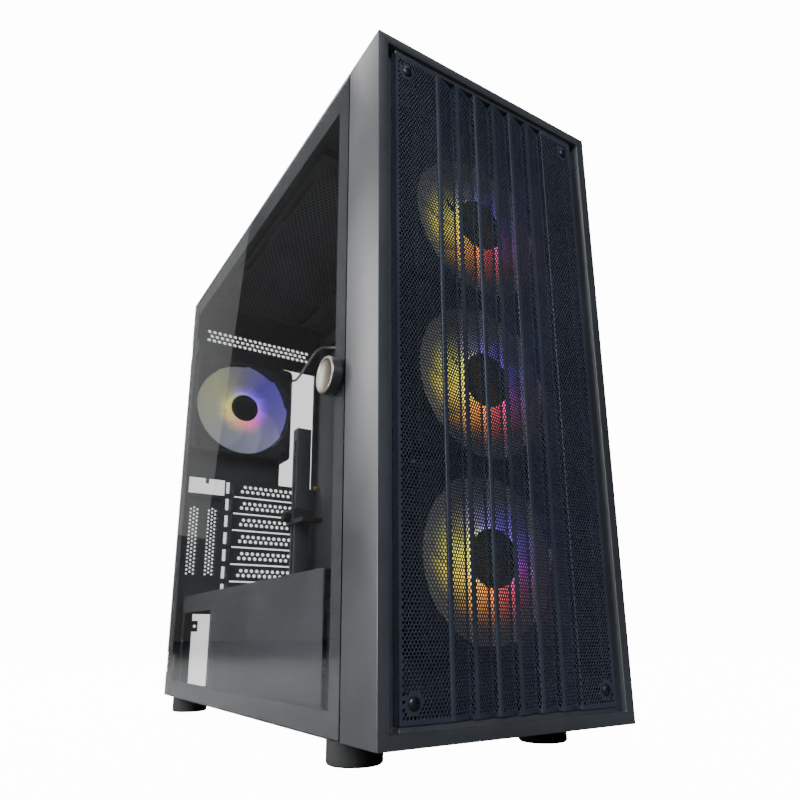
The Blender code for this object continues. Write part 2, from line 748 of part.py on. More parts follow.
def make_top_panel():
    """Top sheet with a sunken pan for the filter and an opening for the controls."""
    pan_low = (PAN_SIDE, PAN_FRONT_Y)
    pan_high = (CASE_W - PAN_SIDE, REAR_IN - PAN_REAR_INSET)
    right = CHASSIS_RIGHT - CONTROL_RIGHT
    fan_slots = []
    for row in range(FAN_SLOT_ROWS):
        start = FAN_SLOT_FRONT_Y + row * FAN_SLOT_PITCH
        end = min(start + FAN_SLOT_L, pan_high[1] - FAN_SLOT_END_SET)
        for x in (FAN_SLOT_SIDE, FAN_SLOT_SIDE + FAN_HOLE_SPACING):
            outline = rounded((x - FAN_SLOT_W / 2, start), (x + FAN_SLOT_W / 2, end), FAN_SLOT_W * 0.49)
            fan_slots.append(prism("Z", outline, CEILING - SHEET, CEILING + 2 * SHEET))
    piece(
        "top_panel",
        box((CHASSIS_LEFT, CHASSIS_FRONT, TOP - SHEET), (CHASSIS_RIGHT, REAR_IN - GAP, TOP)),
        STEEL_PAINT,
        plus=[[box((pan_low[0] - SHEET, pan_low[1] - SHEET, CEILING),
                   (pan_high[0] + SHEET, pan_high[1] + SHEET, TOP - SHEET / 2))]],
        minus=[
            [box((*pan_low, CEILING + SHEET), (*pan_high, TOP + SHEET))],
            [box((right - CONTROL_L - GAP, CONTROL_Y - CONTROL_W / 2 - GAP, TOP - 2 * SHEET),
                 (right + GAP, CONTROL_Y + CONTROL_W / 2 + GAP, TOP + SHEET))],
            fan_slots])


def make_top_filter():
    """Framed dust filter that lies in the top panel's pan and lifts out."""
    low = (PAN_SIDE + SEAM, PAN_FRONT_Y + SEAM, CEILING + SHEET + GAP)
    high = (CASE_W - PAN_SIDE - SEAM, REAR_IN - PAN_REAR_INSET - SEAM, TOP - SEAM)
    middle = tuple((a + b) / 2 for a, b in zip(low, high))
    lift = pivot("top_filter_lift", middle)
    rim_low = (low[0] + FILTER_RIM, low[1] + FILTER_RIM)
    rim_high = (high[0] - FILTER_RIM, high[1] - FILTER_RIM)
    sheet_top = high[2] - SHEET
    piece("top_dust_filter", box(low, high), MESH_PAINT, origin=middle, parent=lift,
          minus=[[box((*rim_low, low[2] - SHEET), (*rim_high, sheet_top - FILTER_SHEET))],
                 [box((*rim_low, sheet_top), (*rim_high, high[2] + SHEET))]])


def make_controls():
    """Housing of the front ports under the top sheet, with a power and a reset button."""
    right = CHASSIS_RIGHT - CONTROL_RIGHT
    low = (right - CONTROL_L, CONTROL_Y - CONTROL_W / 2, TOP - CONTROL_H)
    high = (right, CONTROL_Y + CONTROL_W / 2, TOP)
    ports = [
        box((right - offset - length / 2, CONTROL_Y - PORT_W / 2, TOP - PORT_DEPTH),
            (right - offset + length / 2, CONTROL_Y + PORT_W / 2, TOP + SHEET))
        for offset, length in zip(PORT_OFFSETS, PORT_LENGTHS)]
    ports.append(box(
        (right - SMALL_PORT_OFFSET - SMALL_PORT_L / 2, CONTROL_Y - SMALL_PORT_W / 2, TOP - PORT_DEPTH),
        (right - SMALL_PORT_OFFSET + SMALL_PORT_L / 2, CONTROL_Y + SMALL_PORT_W / 2, TOP + SHEET)))
    ports.append(rod("Z", (right - JACK_OFFSET, CONTROL_Y, 0), TOP - PORT_DEPTH, TOP + SHEET, JACK_R, 16))
    buttons = {"power_button": (POWER_OFFSET, POWER_R), "reset_button": (RESET_OFFSET, RESET_R)}
    floor = TOP - BUTTON_H - BUTTON_TRAVEL - GAP
    for name, (offset, radius) in buttons.items():
        spot = (right - offset, CONTROL_Y, TOP)
        ports.append(rod("Z", spot, floor, TOP + SHEET, radius + BUTTON_CLEAR, 24))
        slide = pivot(f"{name}_slide", spot)
        profile = [(TOP - BUTTON_H, 0), (TOP - BUTTON_H, radius), (TOP - SEAM, radius),
                   (TOP, radius - SEAM), (TOP, 0)]
        piece(name, turned("Z", (spot[0], spot[1], 0), profile, 24), BLACK_PLASTIC,
              origin=spot, parent=slide)
    piece("port_housing", box(low, high), BLACK_PLASTIC, minus=[ports])


def filter_edges():
    """Left, right, front and rear edges of the power supply's filter."""
    middle = PSU_X + PSU_W / 2
    rear = REAR_IN
    return middle - FILTER_W / 2, middle + FILTER_W / 2, rear - FILTER_L, rear


def make_floor():
    """Floor sheet with air slots, and rails below them for the filter."""
    left, right, front, rear = filter_edges()
    lip_low = BOTTOM - FILTER_T - 2 * GAP - RAIL_T
    rails = []
    for edge, way in ((left, -1), (right, 1)):
        outside = edge + way * (GAP + RAIL_T)
        inside = edge + way * GAP
        lip = edge - way * RAIL_LIP
        outline = [(outside, BOTTOM + SHEET / 2), (outside, lip_low), (lip, lip_low),
                   (lip, lip_low + RAIL_T), (inside, lip_low + RAIL_T), (inside, BOTTOM + SHEET / 2)]
        rails.append(prism("Y", outline, front, rear - SEAM))
    middle = (left + right) / 2
    slot_y = front + (FILTER_L - FLOOR_SLOT_L) / 2
    slots = []
    for number in range(FLOOR_SLOT_COUNT):
        x = middle + (number - (FLOOR_SLOT_COUNT - 1) / 2) * FLOOR_SLOT_PITCH
        slots.append(box((x - FLOOR_SLOT_W / 2, slot_y, BOTTOM - SHEET),
                         (x + FLOOR_SLOT_W / 2, slot_y + FLOOR_SLOT_L, FLOOR_TOP + SHEET)))
    piece("floor_panel",
          box((CHASSIS_LEFT, CHASSIS_FRONT, BOTTOM), (CHASSIS_RIGHT, REAR_IN - GAP, FLOOR_TOP)),
          STEEL_PAINT, plus=[rails], minus=[slots])


def make_psu_filter():
    """Framed filter that slides out to the rear from under the floor."""
    left, right, front, rear = filter_edges()
    top = BOTTOM - GAP
    low = top - FILTER_T
    middle = ((left + right) / 2, (front + rear) / 2, (top + low) / 2)
    slide = pivot("psu_filter_slide", middle)
    tab = box((middle[0] - FILTER_W / 6, rear - RAIL_T, low - RAIL_T), (middle[0] + FILTER_W / 6, rear, top))
    rim = FILTER_RIM
    piece("psu_dust_filter", box((left, front, low), (right, rear, top)), MESH_PAINT,
          origin=middle, parent=slide, plus=[[tab]],
          minus=[[box((left + rim, front + rim, low + FILTER_SHEET), (right - rim, rear - rim, top + SHEET))]])


def make_feet():
    """Round feet, each with a screw recess in its sole."""
    spots = {
        "foot_front_left": (FOOT_SIDE, FOOT_FRONT_Y),
        "foot_front_right": (CASE_W - FOOT_SIDE, FOOT_FRONT_Y),
        "foot_rear_left": (FOOT_SIDE, CASE_D - FOOT_REAR_INSET),
        "foot_rear_right": (CASE_W - FOOT_SIDE, CASE_D - FOOT_REAR_INSET)}
    top = BOTTOM - GAP
    profile = [(0, FOOT_RECESS_R), (0, FOOT_R - SHEET), (SHEET, FOOT_R), (top - SHEET, FOOT_R),
               (top, FOOT_R - SHEET), (top, 0)]
    profile = [(FOOT_RECESS_H, 0), (FOOT_RECESS_H, FOOT_RECESS_R)] + profile
    for name, (x, y) in spots.items():
        piece(name, turned("Z", (x, y, 0), profile, 28), RUBBER, origin=(x, y, 0))


# Inside

def cage_levels():
    """Floor heights of the two drive trays' places in the cage."""
    low = FLOOR_TOP + GAP + CAGE_T
    pitch = (CAGE_H - CAGE_T) / DRIVE_TRAY_COUNT
    return [low + number * pitch for number in range(DRIVE_TRAY_COUNT)], pitch


def make_tray():
    """Sheet that carries the motherboard, with openings for cables, cooler, bay and drives."""
    near, far = TRAY_X - SHEET, TRAY_X + 2 * SHEET
    cage_top = FLOOR_TOP + GAP + CAGE_H
    cuts = [
        box((near, CPU_CUT_Y, BOTTOM + CPU_CUT_Z),
            (far, CPU_CUT_Y + CPU_CUT_L, BOTTOM + CPU_CUT_Z + CPU_CUT_H)),
        box((near, BAY_CUT_Y, BOTTOM + BAY_CUT_Z),
            (far, BAY_CUT_Y + BAY_CUT_L, BOTTOM + BAY_CUT_Z + BAY_CUT_H)),
        box((near, CAGE_Y, FLOOR_TOP + GAP), (far, CAGE_Y + CAGE_L, cage_top)),
        box((near, LEAD_SLOT_Y, CEILING - LEAD_SLOT_DROP),
            (far, LEAD_SLOT_Y + LEAD_SLOT_L, CEILING - LEAD_SLOT_DROP + LEAD_SLOT_H))]
    for number in range(CABLE_SLOT_COUNT):
        z = BOTTOM + CABLE_SLOT_Z + number * CABLE_SLOT_PITCH
        outline = rounded((CABLE_SLOT_Y, z), (CABLE_SLOT_Y + CABLE_SLOT_W, z + CABLE_SLOT_H),
                          CABLE_SLOT_W / 3)
        cuts.append(prism("X", outline, near, far))
    piece("motherboard_tray",
          box((TRAY_X, TRAY_FRONT_Y, FLOOR_TOP + GAP / 2), (TRAY_X + SHEET, REAR_IN - GAP, CEILING - GAP)),
          STEEL_PAINT, minus=[cuts])


def make_shroud():
    """Angled cover over the power supply: a side wall and a top, with a window and cable slots."""
    low = FLOOR_TOP + GAP
    outline = [(SHROUD_X, low), (SHROUD_X + SHEET, low), (SHROUD_X + SHEET, SHROUD_Z - SHEET),
               (TRAY_X - GAP, SHROUD_Z - SHEET), (TRAY_X - GAP, SHROUD_Z), (SHROUD_X, SHROUD_Z)]
    window = box((SHROUD_X - SHEET, SHROUD_CUT_Y, BOTTOM + SHROUD_CUT_Z),
                 (SHROUD_X + 2 * SHEET, SHROUD_CUT_Y + SHROUD_CUT_L, BOTTOM + SHROUD_CUT_Z + SHROUD_CUT_H))
    right = TRAY_X - SHROUD_SLOT_SIDE
    slots = [box((right - SHROUD_SLOT_W, y, SHROUD_Z - 2 * SHEET),
                 (right, y + SHROUD_SLOT_L, SHROUD_Z + SHEET)) for y in SHROUD_SLOT_YS]
    rear = REAR_IN - 2 * GAP - SLOT_COVER_T
    piece("psu_shroud", prism("Y", outline, SHROUD_FRONT_Y, rear), DARK_PAINT, minus=[[window] + slots])


def make_drive_cage():
    """Open steel cage with one shelf, and two drive trays that slide out to the right."""
    low = FLOOR_TOP + GAP
    right = TRAY_X - GAP
    levels, pitch = cage_levels()
    pockets = [
        box((CAGE_X - SHEET, CAGE_Y + CAGE_T, level),
            (right + SHEET, CAGE_Y + CAGE_L - CAGE_T, level + pitch - CAGE_T))
        for level in levels]
    piece("drive_cage", box((CAGE_X, CAGE_Y, low), (right, CAGE_Y + CAGE_L, low + CAGE_H)),
          STEEL_PAINT, minus=[pockets])
    for number, level in enumerate(levels, start=1):
        start = (CAGE_X + DRIVE_TRAY_PLAY, CAGE_Y + CAGE_T + DRIVE_TRAY_PLAY, level + GAP)
        end = (right + DRIVE_TRAY_FACE, CAGE_Y + CAGE_L - CAGE_T - DRIVE_TRAY_PLAY, level + GAP + DRIVE_TRAY_H)
        slide = pivot(f"drive_tray_slide_{number}", start)
        hollow = box((start[0] - SHEET, start[1] + DRIVE_TRAY_T, start[2] + DRIVE_TRAY_T),
                     (right - DRIVE_TRAY_T, end[1] - DRIVE_TRAY_T, end[2] + SHEET))
        piece(f"drive_tray_{number}", box(start, end), BLACK_PLASTIC, origin=start, parent=slide,
              minus=[[hollow]])


def make_support():
    """Graphics card support: a slotted post on a foot, with an arm that slides on it."""
    low = SHROUD_Z + GAP
    top = BOTTOM + POST_TOP
    middle = (POST_X + POST_W / 2, POST_Y + POST_D / 2)
    foot = POST_FOOT_W / 2
    slot = box((POST_X - ARM_WALL, middle[1] - POST_SLOT_W / 2, low + POST_FOOT_T + POST_SLOT_END),
               (POST_X + POST_W + ARM_WALL, middle[1] + POST_SLOT_W / 2, top - POST_SLOT_END))
    piece("support_post",
          box((POST_X, POST_Y, low), (POST_X + POST_W, POST_Y + POST_D, top)), DARK_PAINT,
          plus=[[box((middle[0] - foot, middle[1] - foot, low),
                     (middle[0] + foot, middle[1] + foot, low + POST_FOOT_T))]],
          minus=[[slot]])
    arm_low = BOTTOM + ARM_Z - ARM_H / 2
    sleeve = ARM_PLAY + ARM_WALL
    slide = pivot("support_arm_slide", (middle[0], middle[1], BOTTOM + ARM_Z))
    origin = tuple(slide.location)
    piece("support_arm",
          box((POST_X - sleeve, POST_Y - sleeve, arm_low),
              (POST_X + POST_W + sleeve, POST_Y + POST_D + sleeve, arm_low + ARM_H)),
          BLACK_PLASTIC, origin=origin, parent=slide,
          plus=[[box((POST_X - sleeve, POST_Y - sleeve - ARM_REACH, arm_low),
                     (POST_X + POST_W + sleeve, POST_Y - sleeve / 2, arm_low + ARM_T))]],
          minus=[[box((POST_X - ARM_PLAY, POST_Y - ARM_PLAY, arm_low - SHEET),
                      (POST_X + POST_W + ARM_PLAY, POST_Y + POST_D + ARM_PLAY, arm_low + ARM_H + SHEET))],
                 [rod("X", (0, middle[1], BOTTOM + ARM_Z), POST_X - sleeve - SHEET, POST_X - ARM_PLAY / 2,
                      SCREW_HOLE_R, 12)]])
    face = POST_X - sleeve - GAP
    spot = (face, middle[1], BOTTOM + ARM_Z)
    turn = pivot("support_knob_turn", spot)
    profile = [(-ARM_KNOB_L, 0), (-ARM_KNOB_L, ARM_KNOB_R - SEAM), (SEAM - ARM_KNOB_L, ARM_KNOB_R),
               (0, ARM_KNOB_R), (0, SCREW_SHANK_R), (sleeve, SCREW_SHANK_R), (sleeve, 0)]
    piece("support_knob", turned("X", spot, profile, 24), BLACK_PLASTIC, origin=spot, parent=turn)


def make_back_of_tray():
    """Fan controller and drive bracket on the tray's far side."""
    face = TRAY_X + SHEET + GAP
    low_z = TOP - CONTROLLER_DROP
    piece("fan_controller",
          box((face, CONTROLLER_Y, low_z),
              (face + CONTROLLER_T, CONTROLLER_Y + CONTROLLER_L, low_z + CONTROLLER_H)), BLACK_PLASTIC)
    piece("ssd_bracket",
          box((face, SSD_Y, BOTTOM + SSD_Z), (face + SSD_T, SSD_Y + SSD_L, BOTTOM + SSD_Z + SSD_H)),
          STEEL_PAINT,
          minus=[[box((face + SHEET, SSD_Y + SHEET, BOTTOM + SSD_Z - SHEET),
                      (face + SSD_T + SHEET, SSD_Y + SSD_L - SHEET, BOTTOM + SSD_Z + SSD_H + SHEET))]])


def smooth_route(points, spacing):
    """Points at an even spacing on a smooth curve through the route's own points."""
    ends = [points[0] * 2 - points[1]] + points + [points[-1] * 2 - points[-2]]
    dense = []
    for a, b, c, d in zip(ends, ends[1:], ends[2:], ends[3:]):
        for step in range(LEAD_STEPS):
            t = step / LEAD_STEPS
            dense.append(0.5 * (2 * b + (c - a) * t + (2 * a - 5 * b + 4 * c - d) * t * t
                                + (3 * b - a - 3 * c + d) * t ** 3))
    dense.append(points[-1])
    kept = [dense[0]]
    for spot in dense[1:-1]:
        if (spot - kept[-1]).length >= spacing and (spot - dense[-1]).length >= spacing / 2:
            kept.append(spot)
    return kept + [dense[-1]]


def make_lead():
    """The rear fan's lead: from its frame's upper corner, through the tray, to the controller."""
    fan_edge = REAR_FAN_X + FAN_SIZE / 2 + GAP
    fan_top = TOP - REAR_FAN_DROP + FAN_SIZE / 2
    opening_y = LEAD_SLOT_Y + LEAD_SLOT_L / 2
    opening_z = CEILING - LEAD_SLOT_DROP + LEAD_SLOT_H / 2
    back = TRAY_X + SHEET + GAP + CONTROLLER_T / 2
    socket_y = CONTROLLER_Y + CONTROLLER_L + GAP
    route = [
        Vector((fan_edge, REAR_FAN_Y + FAN_T / 3, fan_top - LEAD_DROP)),
        Vector((fan_edge + LEAD_STRAIGHT, REAR_FAN_Y + FAN_T / 3, fan_top - LEAD_RISE)),
        Vector((TRAY_X - 2 * LEAD_STRAIGHT, opening_y + LEAD_RISE, opening_z - LEAD_DROP)),
        Vector((TRAY_X + SHEET / 2, opening_y, opening_z)),
        Vector((back + LEAD_R, opening_y - LEAD_SLOT_L / 2, opening_z - LEAD_RISE)),
        Vector((back, socket_y + LEAD_STRAIGHT, TOP - CONTROLLER_DROP + CONTROLLER_H / 2)),
        Vector((back, socket_y, TOP - CONTROLLER_DROP + CONTROLLER_H / 2))]
    curve = bpy.data.curves.new("rear_fan_lead", "CURVE")
    curve.dimensions = "3D"
    curve.bevel_depth = LEAD_R
    curve.bevel_resolution = 2
    curve.use_fill_caps = True
    line = curve.splines.new("POLY")
    spots = smooth_route(route, LEAD_SPACING)
    line.points.add(len(spots) - 1)
    for point, spot in zip(line.points, spots):
        point.co = (*spot, 1.0)
    made = bpy.data.objects.new("rear_fan_lead", curve)
    made.parent = CASE
    made.data.materials.append(finish_for("rear_fan_lead", PALE_CABLE))
    bpy.context.collection.objects.link(made)


# Sides

def hinge_heights():
    return {"lower": BOTTOM + HINGE_LOW_Z, "upper": TOP - HINGE_HIGH_DROP}


def make_door():
    """Tinted glass plate on two lift-off hinges, with a pull knob near its front edge."""
    swing = pivot("door_swing", (HINGE_X, HINGE_Y, BOTTOM))
    origin = tuple(swing.location)
    notches = [
        box((-DOOR_T, HINGE_Y - NOTCH_D, low - SEAM), (2 * DOOR_T, CASE_D + DOOR_T, low + HINGE_H + SEAM))
        for low in hinge_heights().values()]
    stem_hole = rod("X", (0, KNOB_Y, BOTTOM + KNOB_Z), -DOOR_T, 2 * DOOR_T, KNOB_STEM_R + GAP, 16)
    piece("glass_door", box((0, CHASSIS_FRONT, BOTTOM), (DOOR_T, DOOR_REAR, TOP)), TINTED_GLASS,
          origin=origin, parent=swing, minus=[notches, [stem_hole]])
    spot = (0, KNOB_Y, BOTTOM + KNOB_Z)
    inner_end = DOOR_T + GAP
    dish = KNOB_R - KNOB_RIM
    neck = KNOB_R - 2 * KNOB_RIM
    knob = [(-KNOB_STAND + SHEET, 0), (-KNOB_STAND + SHEET, dish), (-KNOB_STAND, dish + SEAM),
            (-KNOB_STAND, KNOB_R - SEAM), (-KNOB_STAND + SEAM, KNOB_R), (-KNOB_NECK, KNOB_R),
            (-KNOB_NECK + SEAM, neck), (-GAP, neck), (-GAP, KNOB_STEM_R),
            (inner_end, KNOB_STEM_R), (inner_end, 0)]
    piece("door_knob", turned("X", spot, knob, 32), CHAMPAGNE, origin=spot, parent=swing)
    nut_low = DOOR_T + 2 * GAP
    nut_spot = (nut_low, KNOB_Y, BOTTOM + KNOB_Z)
    piece("door_knob_nut", rod("X", nut_spot, nut_low, nut_low + NUT_T, NUT_R, 6), BARE_STEEL,
          origin=nut_spot, parent=swing)
    for name, low in hinge_heights().items():
        middle = low + HINGE_H / 2
        axis_spot = (HINGE_X, HINGE_Y, 0)
        plate = box((DOOR_T + GAP, HINGE_Y - LEAF_L, low), (LEAF_FACE, HINGE_Y - NOTCH_D, low + HINGE_H))
        tongue = box((DOOR_T + GAP, HINGE_Y - 2 * NOTCH_D, middle + GAP), (LEAF_FACE, HINGE_Y, low + HINGE_H))
        knuckle = rod("Z", axis_spot, middle + GAP, low + HINGE_H, KNUCKLE_R, 24)
        bore = rod("Z", axis_spot, low - SHEET, low + HINGE_H + SHEET, PIN_R + PIN_CLEAR, 16)
        piece(f"hinge_leaf_{name}", plate, STEEL_PAINT, origin=(HINGE_X, HINGE_Y, low), parent=swing,
              plus=[[tongue], [knuckle]], minus=[[bore]])
        base_low = REAR_OUT + GAP
        base = box((HINGE_X, base_low, low), (CHASSIS_LEFT + BRACKET_L, CASE_D, middle - GAP / 2))
        fixed = rod("Z", axis_spot, low, middle - GAP / 2, KNUCKLE_R, 24)
        piece(f"hinge_bracket_{name}", base, STEEL_PAINT, plus=[[fixed]], minus=[[bore]])
        piece(f"hinge_pin_{name}", rod("Z", axis_spot, low + GAP, low + HINGE_H - GAP, PIN_R, 16),
              BARE_STEEL, origin=(HINGE_X, HINGE_Y, low))


def make_right_panel():
    """Steel side panel with a rear flange, held by two captive thumbscrews."""
    slide = pivot("right_panel_slide", (CASE_W, CASE_D, BOTTOM))
    origin = tuple(slide.location)
    flange = box((CASE_W - PANEL_FLANGE, REAR_OUT + GAP, BOTTOM), (CASE_W - SHEET / 2, CASE_D, TOP))
    holes = [rod("Y", (x, 0, z), REAR_OUT - SHEET, CASE_D + SHEET, THUMB_HOLE_R, 12)
             for x, z in thumbscrew_spots().values()]
    piece("right_side_panel",
          box((CASE_W - SHEET, CHASSIS_FRONT, BOTTOM), (CASE_W, CASE_D, TOP)), DARK_PAINT,
          origin=origin, parent=slide, plus=[[flange]], minus=[holes])
    for name, (x, z) in thumbscrew_spots().items():
        spot = (x, CASE_D, z)
        turn = pivot(f"thumbscrew_{name}_turn", spot)
        profile = [(THUMB_STAND, 0), (THUMB_STAND, THUMB_R - SEAM), (THUMB_STAND - SEAM, THUMB_R),
                   (GAP, THUMB_R), (GAP, THUMB_SHANK_R), (-THUMB_REACH, THUMB_SHANK_R), (-THUMB_REACH, 0)]
        piece(f"thumbscrew_{name}", turned("Y", spot, profile, 24), BLACK_PLASTIC, origin=spot, parent=turn)


clear_scene()
CASE = bpy.data.objects.new("case", None)
CASE.location = CASE_ORIGIN
bpy.context.collection.objects.link(CASE)

BEZEL_PULL = pivot("bezel_pull", (0, 0, 0))
make_bezel(BEZEL_PULL)
make_mesh(BEZEL_PULL)
make_bulkhead()
make_fans()
make_rear_panel()
make_slot_covers()
make_top_panel()
make_top_filter()
make_controls()
make_floor()
make_psu_filter()
make_feet()
make_tray()
make_shroud()
make_drive_cage()
make_support()
make_back_of_tray()
make_lead()
make_door()
make_right_panel()
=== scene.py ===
"""Looks of a desktop computer tower: an empty case with a mesh front, lit fans and a hinged glass door."""

import json
import math

import bmesh
import bpy
from mathutils import Matrix, Vector


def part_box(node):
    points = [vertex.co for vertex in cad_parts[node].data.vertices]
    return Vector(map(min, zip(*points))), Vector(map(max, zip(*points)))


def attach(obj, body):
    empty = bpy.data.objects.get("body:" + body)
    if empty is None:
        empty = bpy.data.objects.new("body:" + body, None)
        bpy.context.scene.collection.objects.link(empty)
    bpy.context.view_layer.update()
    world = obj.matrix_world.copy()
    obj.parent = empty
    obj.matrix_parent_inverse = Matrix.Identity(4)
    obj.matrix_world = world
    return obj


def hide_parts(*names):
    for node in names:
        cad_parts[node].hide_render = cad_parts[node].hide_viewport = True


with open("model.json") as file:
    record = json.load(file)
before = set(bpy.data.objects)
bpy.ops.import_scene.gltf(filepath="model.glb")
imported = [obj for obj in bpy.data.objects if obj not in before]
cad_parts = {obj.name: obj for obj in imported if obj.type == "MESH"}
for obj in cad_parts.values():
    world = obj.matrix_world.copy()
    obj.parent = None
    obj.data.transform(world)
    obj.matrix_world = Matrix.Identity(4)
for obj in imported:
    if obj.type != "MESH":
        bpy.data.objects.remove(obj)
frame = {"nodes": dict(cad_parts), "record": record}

bl_info = {
    "name": "Desktop Tower",
    "version": (1, 0, 0),
    "blender": (4, 5, 0),
    "location": "View3D > Sidebar > Tower",
    "description": "Builds the looks of a desktop computer tower on its CAD frame",
    "category": "Object",
}

NODES = frame["nodes"]
BODY_OF = {
    node: body for body, members in frame["record"]["behaviour"]["bodies"].items() for node in members}
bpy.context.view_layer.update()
CORNER = Vector((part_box("glass_door")[0].x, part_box("front_bezel")[0].y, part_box("front_bezel")[0].z))
MM = 0.001
ROW_STEP = math.sqrt(3) / 2
WHITE = (1.0, 1.0, 1.0, 1.0)
# Near-black painted into punched holes: painted shade for the dark seen through them.
HOLE_SHADE_BLACK = (0.002, 0.002, 0.002, 1.0)
FAN_SCREWS = 0.0525
HUB_RADIUS = 0.0205
PRINT_EDGE = 0.0004
PRINT_THICKNESS = 0.00008
SCREW_CLEARANCE = 0.0062
LEAD_RADIUS = 0.0016
LEAD_OPENING = (0.417, 0.432)


# Settings


def colour_setting(name, description, *rgb):
    return bpy.props.FloatVectorProperty(
        name=name, description=description, subtype="COLOR", size=4, default=(*rgb, 1.0))


def length_setting(name, description, default, least, most):
    return bpy.props.FloatProperty(
        name=name, description=description, unit="LENGTH", default=default, min=least, max=most)


def amount_setting(name, description, default, **limits):
    return bpy.props.FloatProperty(name=name, description=description, default=default, min=0.0, **limits)


class TowerFinish(bpy.types.PropertyGroup):
    """Colours of the painted, moulded and plated surfaces."""

    bezel: colour_setting("Bezel", "Satin paint of the front bezel", 0.034, 0.035, 0.038)
    mesh: colour_setting("Front mesh", "Powder coat of the front mesh", 0.027, 0.031, 0.042)
    steel: colour_setting("Chassis", "Powder coat of the chassis sheets", 0.030, 0.031, 0.033)
    plastic: colour_setting("Plastic", "Moulded black plastic", 0.012, 0.012, 0.013)
    glass: colour_setting("Glass tint", "Tint of the door's glass", 0.80, 0.81, 0.82)
    border: colour_setting("Glass border", "Printed border of the door", 0.022, 0.023, 0.024)
    knob: colour_setting("Knob", "Plated face of the door's knob", 0.17, 0.15, 0.125)
    rubber: colour_setting("Rubber", "Feet, grommets and pads", 0.010, 0.010, 0.010)


class TowerPattern(bpy.types.PropertyGroup):
    """Sizes of the repeated holes, and the number of fan blades."""

    mesh_pitch: length_setting("Mesh pitch", "From hole to hole of the front mesh", 0.0024, 0.002, 0.01)
    mesh_web: length_setting("Mesh web", "Metal between the front mesh's holes", 0.0005, 0.0003, 0.003)
    mesh_margin: length_setting("Mesh margin", "Solid edge of the front mesh", 0.0035, 0.001, 0.01)
    grille_pitch: length_setting("Grille pitch", "From hole to hole of the rear grille", 0.0056, 0.003, 0.02)
    cover_pitch: length_setting("Cover pitch", "From hole to hole of the slot covers", 0.0066, 0.004, 0.02)
    blades: bpy.props.IntProperty(name="Blades", description="Blades of each fan", default=9, min=3, max=13)


class TowerStudio(bpy.types.PropertyGroup):
    """The floor and lights."""

    floor: colour_setting("Floor", "Plain pale floor", 0.93, 0.93, 0.93)
    backdrop: amount_setting("Backdrop", "Brightness of the plain backdrop", 14.0)
    through: amount_setting("Through glass", "Share of the backdrop seen through the glass", 0.14, max=1.0)
    fill: amount_setting("Fill", "Soft light from all sides", 0.05)
    bounce: amount_setting("Bounce", "Share of the light that the floor gives back", 0.12, max=1.0)


# Shaping


def spot(x, y, z):
    """Position in the frame of one given from the case's left, front and bottom, in millimetres."""
    return CORNER + Vector((x, y, z)) * MM


def as_object(name, shape, angle=32.0):
    """Object at the origin whose mesh is the shape, smooth up to the given angle."""
    data = bpy.data.meshes.new(name)
    shape.to_mesh(data)
    shape.free()
    data.shade_smooth()
    data.set_sharp_from_angle(angle=math.radians(angle))
    made = bpy.data.objects.new(name, data)
    bpy.context.scene.collection.objects.link(made)
    return made


def stand_for(made, node):
    """Makes the object ride on the node's body and stand for the node, whose CAD part it hides."""
    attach(made, BODY_OF[node])
    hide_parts(node)


def add_piece(name, shape, *materials, node=None, beside=None, angle=32.0):
    """Finished piece that stands for its node, or an extra that rides beside one."""
    made = as_object(name, shape, angle)
    for material in materials:
        made.data.materials.append(material)
    if node:
        stand_for(made, node)
    else:
        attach(made, BODY_OF[beside])
    return made


def box_of(node):
    """Low corner, high corner and centre of a node's box."""
    low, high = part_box(node)
    return low, high, (low + high) / 2


def openings(prefix):
    """Low and high corners of the record's openings whose names start with the prefix."""
    for item in frame["record"]["physics"]["openings"]:
        if item["name"].startswith(prefix):
            yield [Vector(corner) for corner in item["box_m"]]


def merged_copy(node):
    """Shape of a CAD node with its doubles merged."""
    shape = bmesh.new()
    shape.from_mesh(NODES[node].data)
    for face in shape.faces:
        face.material_index = 0
    bmesh.ops.remove_doubles(shape, verts=shape.verts, dist=2e-6)
    return shape


def round_edges(shape, edges, width, segments=2):
    bmesh.ops.bevel(
        shape, geom=list(edges), offset=width, offset_type="OFFSET", segments=segments, profile=0.5,
        affect="EDGES", clamp_overlap=True, material=-1)
    return shape


def soften(shape, width, least=35.0):
    """Rounds every edge whose faces meet at more than the least angle."""
    sharp = [
        edge for edge in shape.edges
        if edge.is_manifold and edge.calc_face_angle() > math.radians(least)]
    return round_edges(shape, sharp, width)


def refine(material, width, *nodes, least=35.0):
    """The nodes with rounded edges and their finish."""
    for node in nodes:
        shape = soften(merged_copy(node), width, least)
        add_piece(f"{node}_finish", shape, material, node=node, angle=25.0)


def cut(shape, tool):
    """The shape with the tool's bodies taken away."""
    block = as_object("cut_block", shape)
    cutter = as_object("cut_tool", tool)
    change = block.modifiers.new("cut", "BOOLEAN")
    change.operation = "DIFFERENCE"
    change.solver = "EXACT"
    change.object = cutter
    evaluated = block.evaluated_get(bpy.context.evaluated_depsgraph_get())
    result = bmesh.new()
    result.from_mesh(evaluated.to_mesh())
    evaluated.to_mesh_clear()
    for helper in (block, cutter):
        data = helper.data
        bpy.data.objects.remove(helper)
        bpy.data.meshes.remove(data)
    return result


def join(shape, extra):
    """Moves the extra body into the shape."""
    data = bpy.data.meshes.new("joined_body")
    extra.to_mesh(data)
    extra.free()
    shape.from_mesh(data)
    bpy.data.meshes.remove(data)


def everything(shape):
    return shape.verts[:] + shape.edges[:] + shape.faces[:]


def turn_to(axis):
    """Rotation that points +Z along an axis."""
    return Vector((0, 0, 1)).rotation_difference(Vector(axis)).to_matrix().to_4x4()


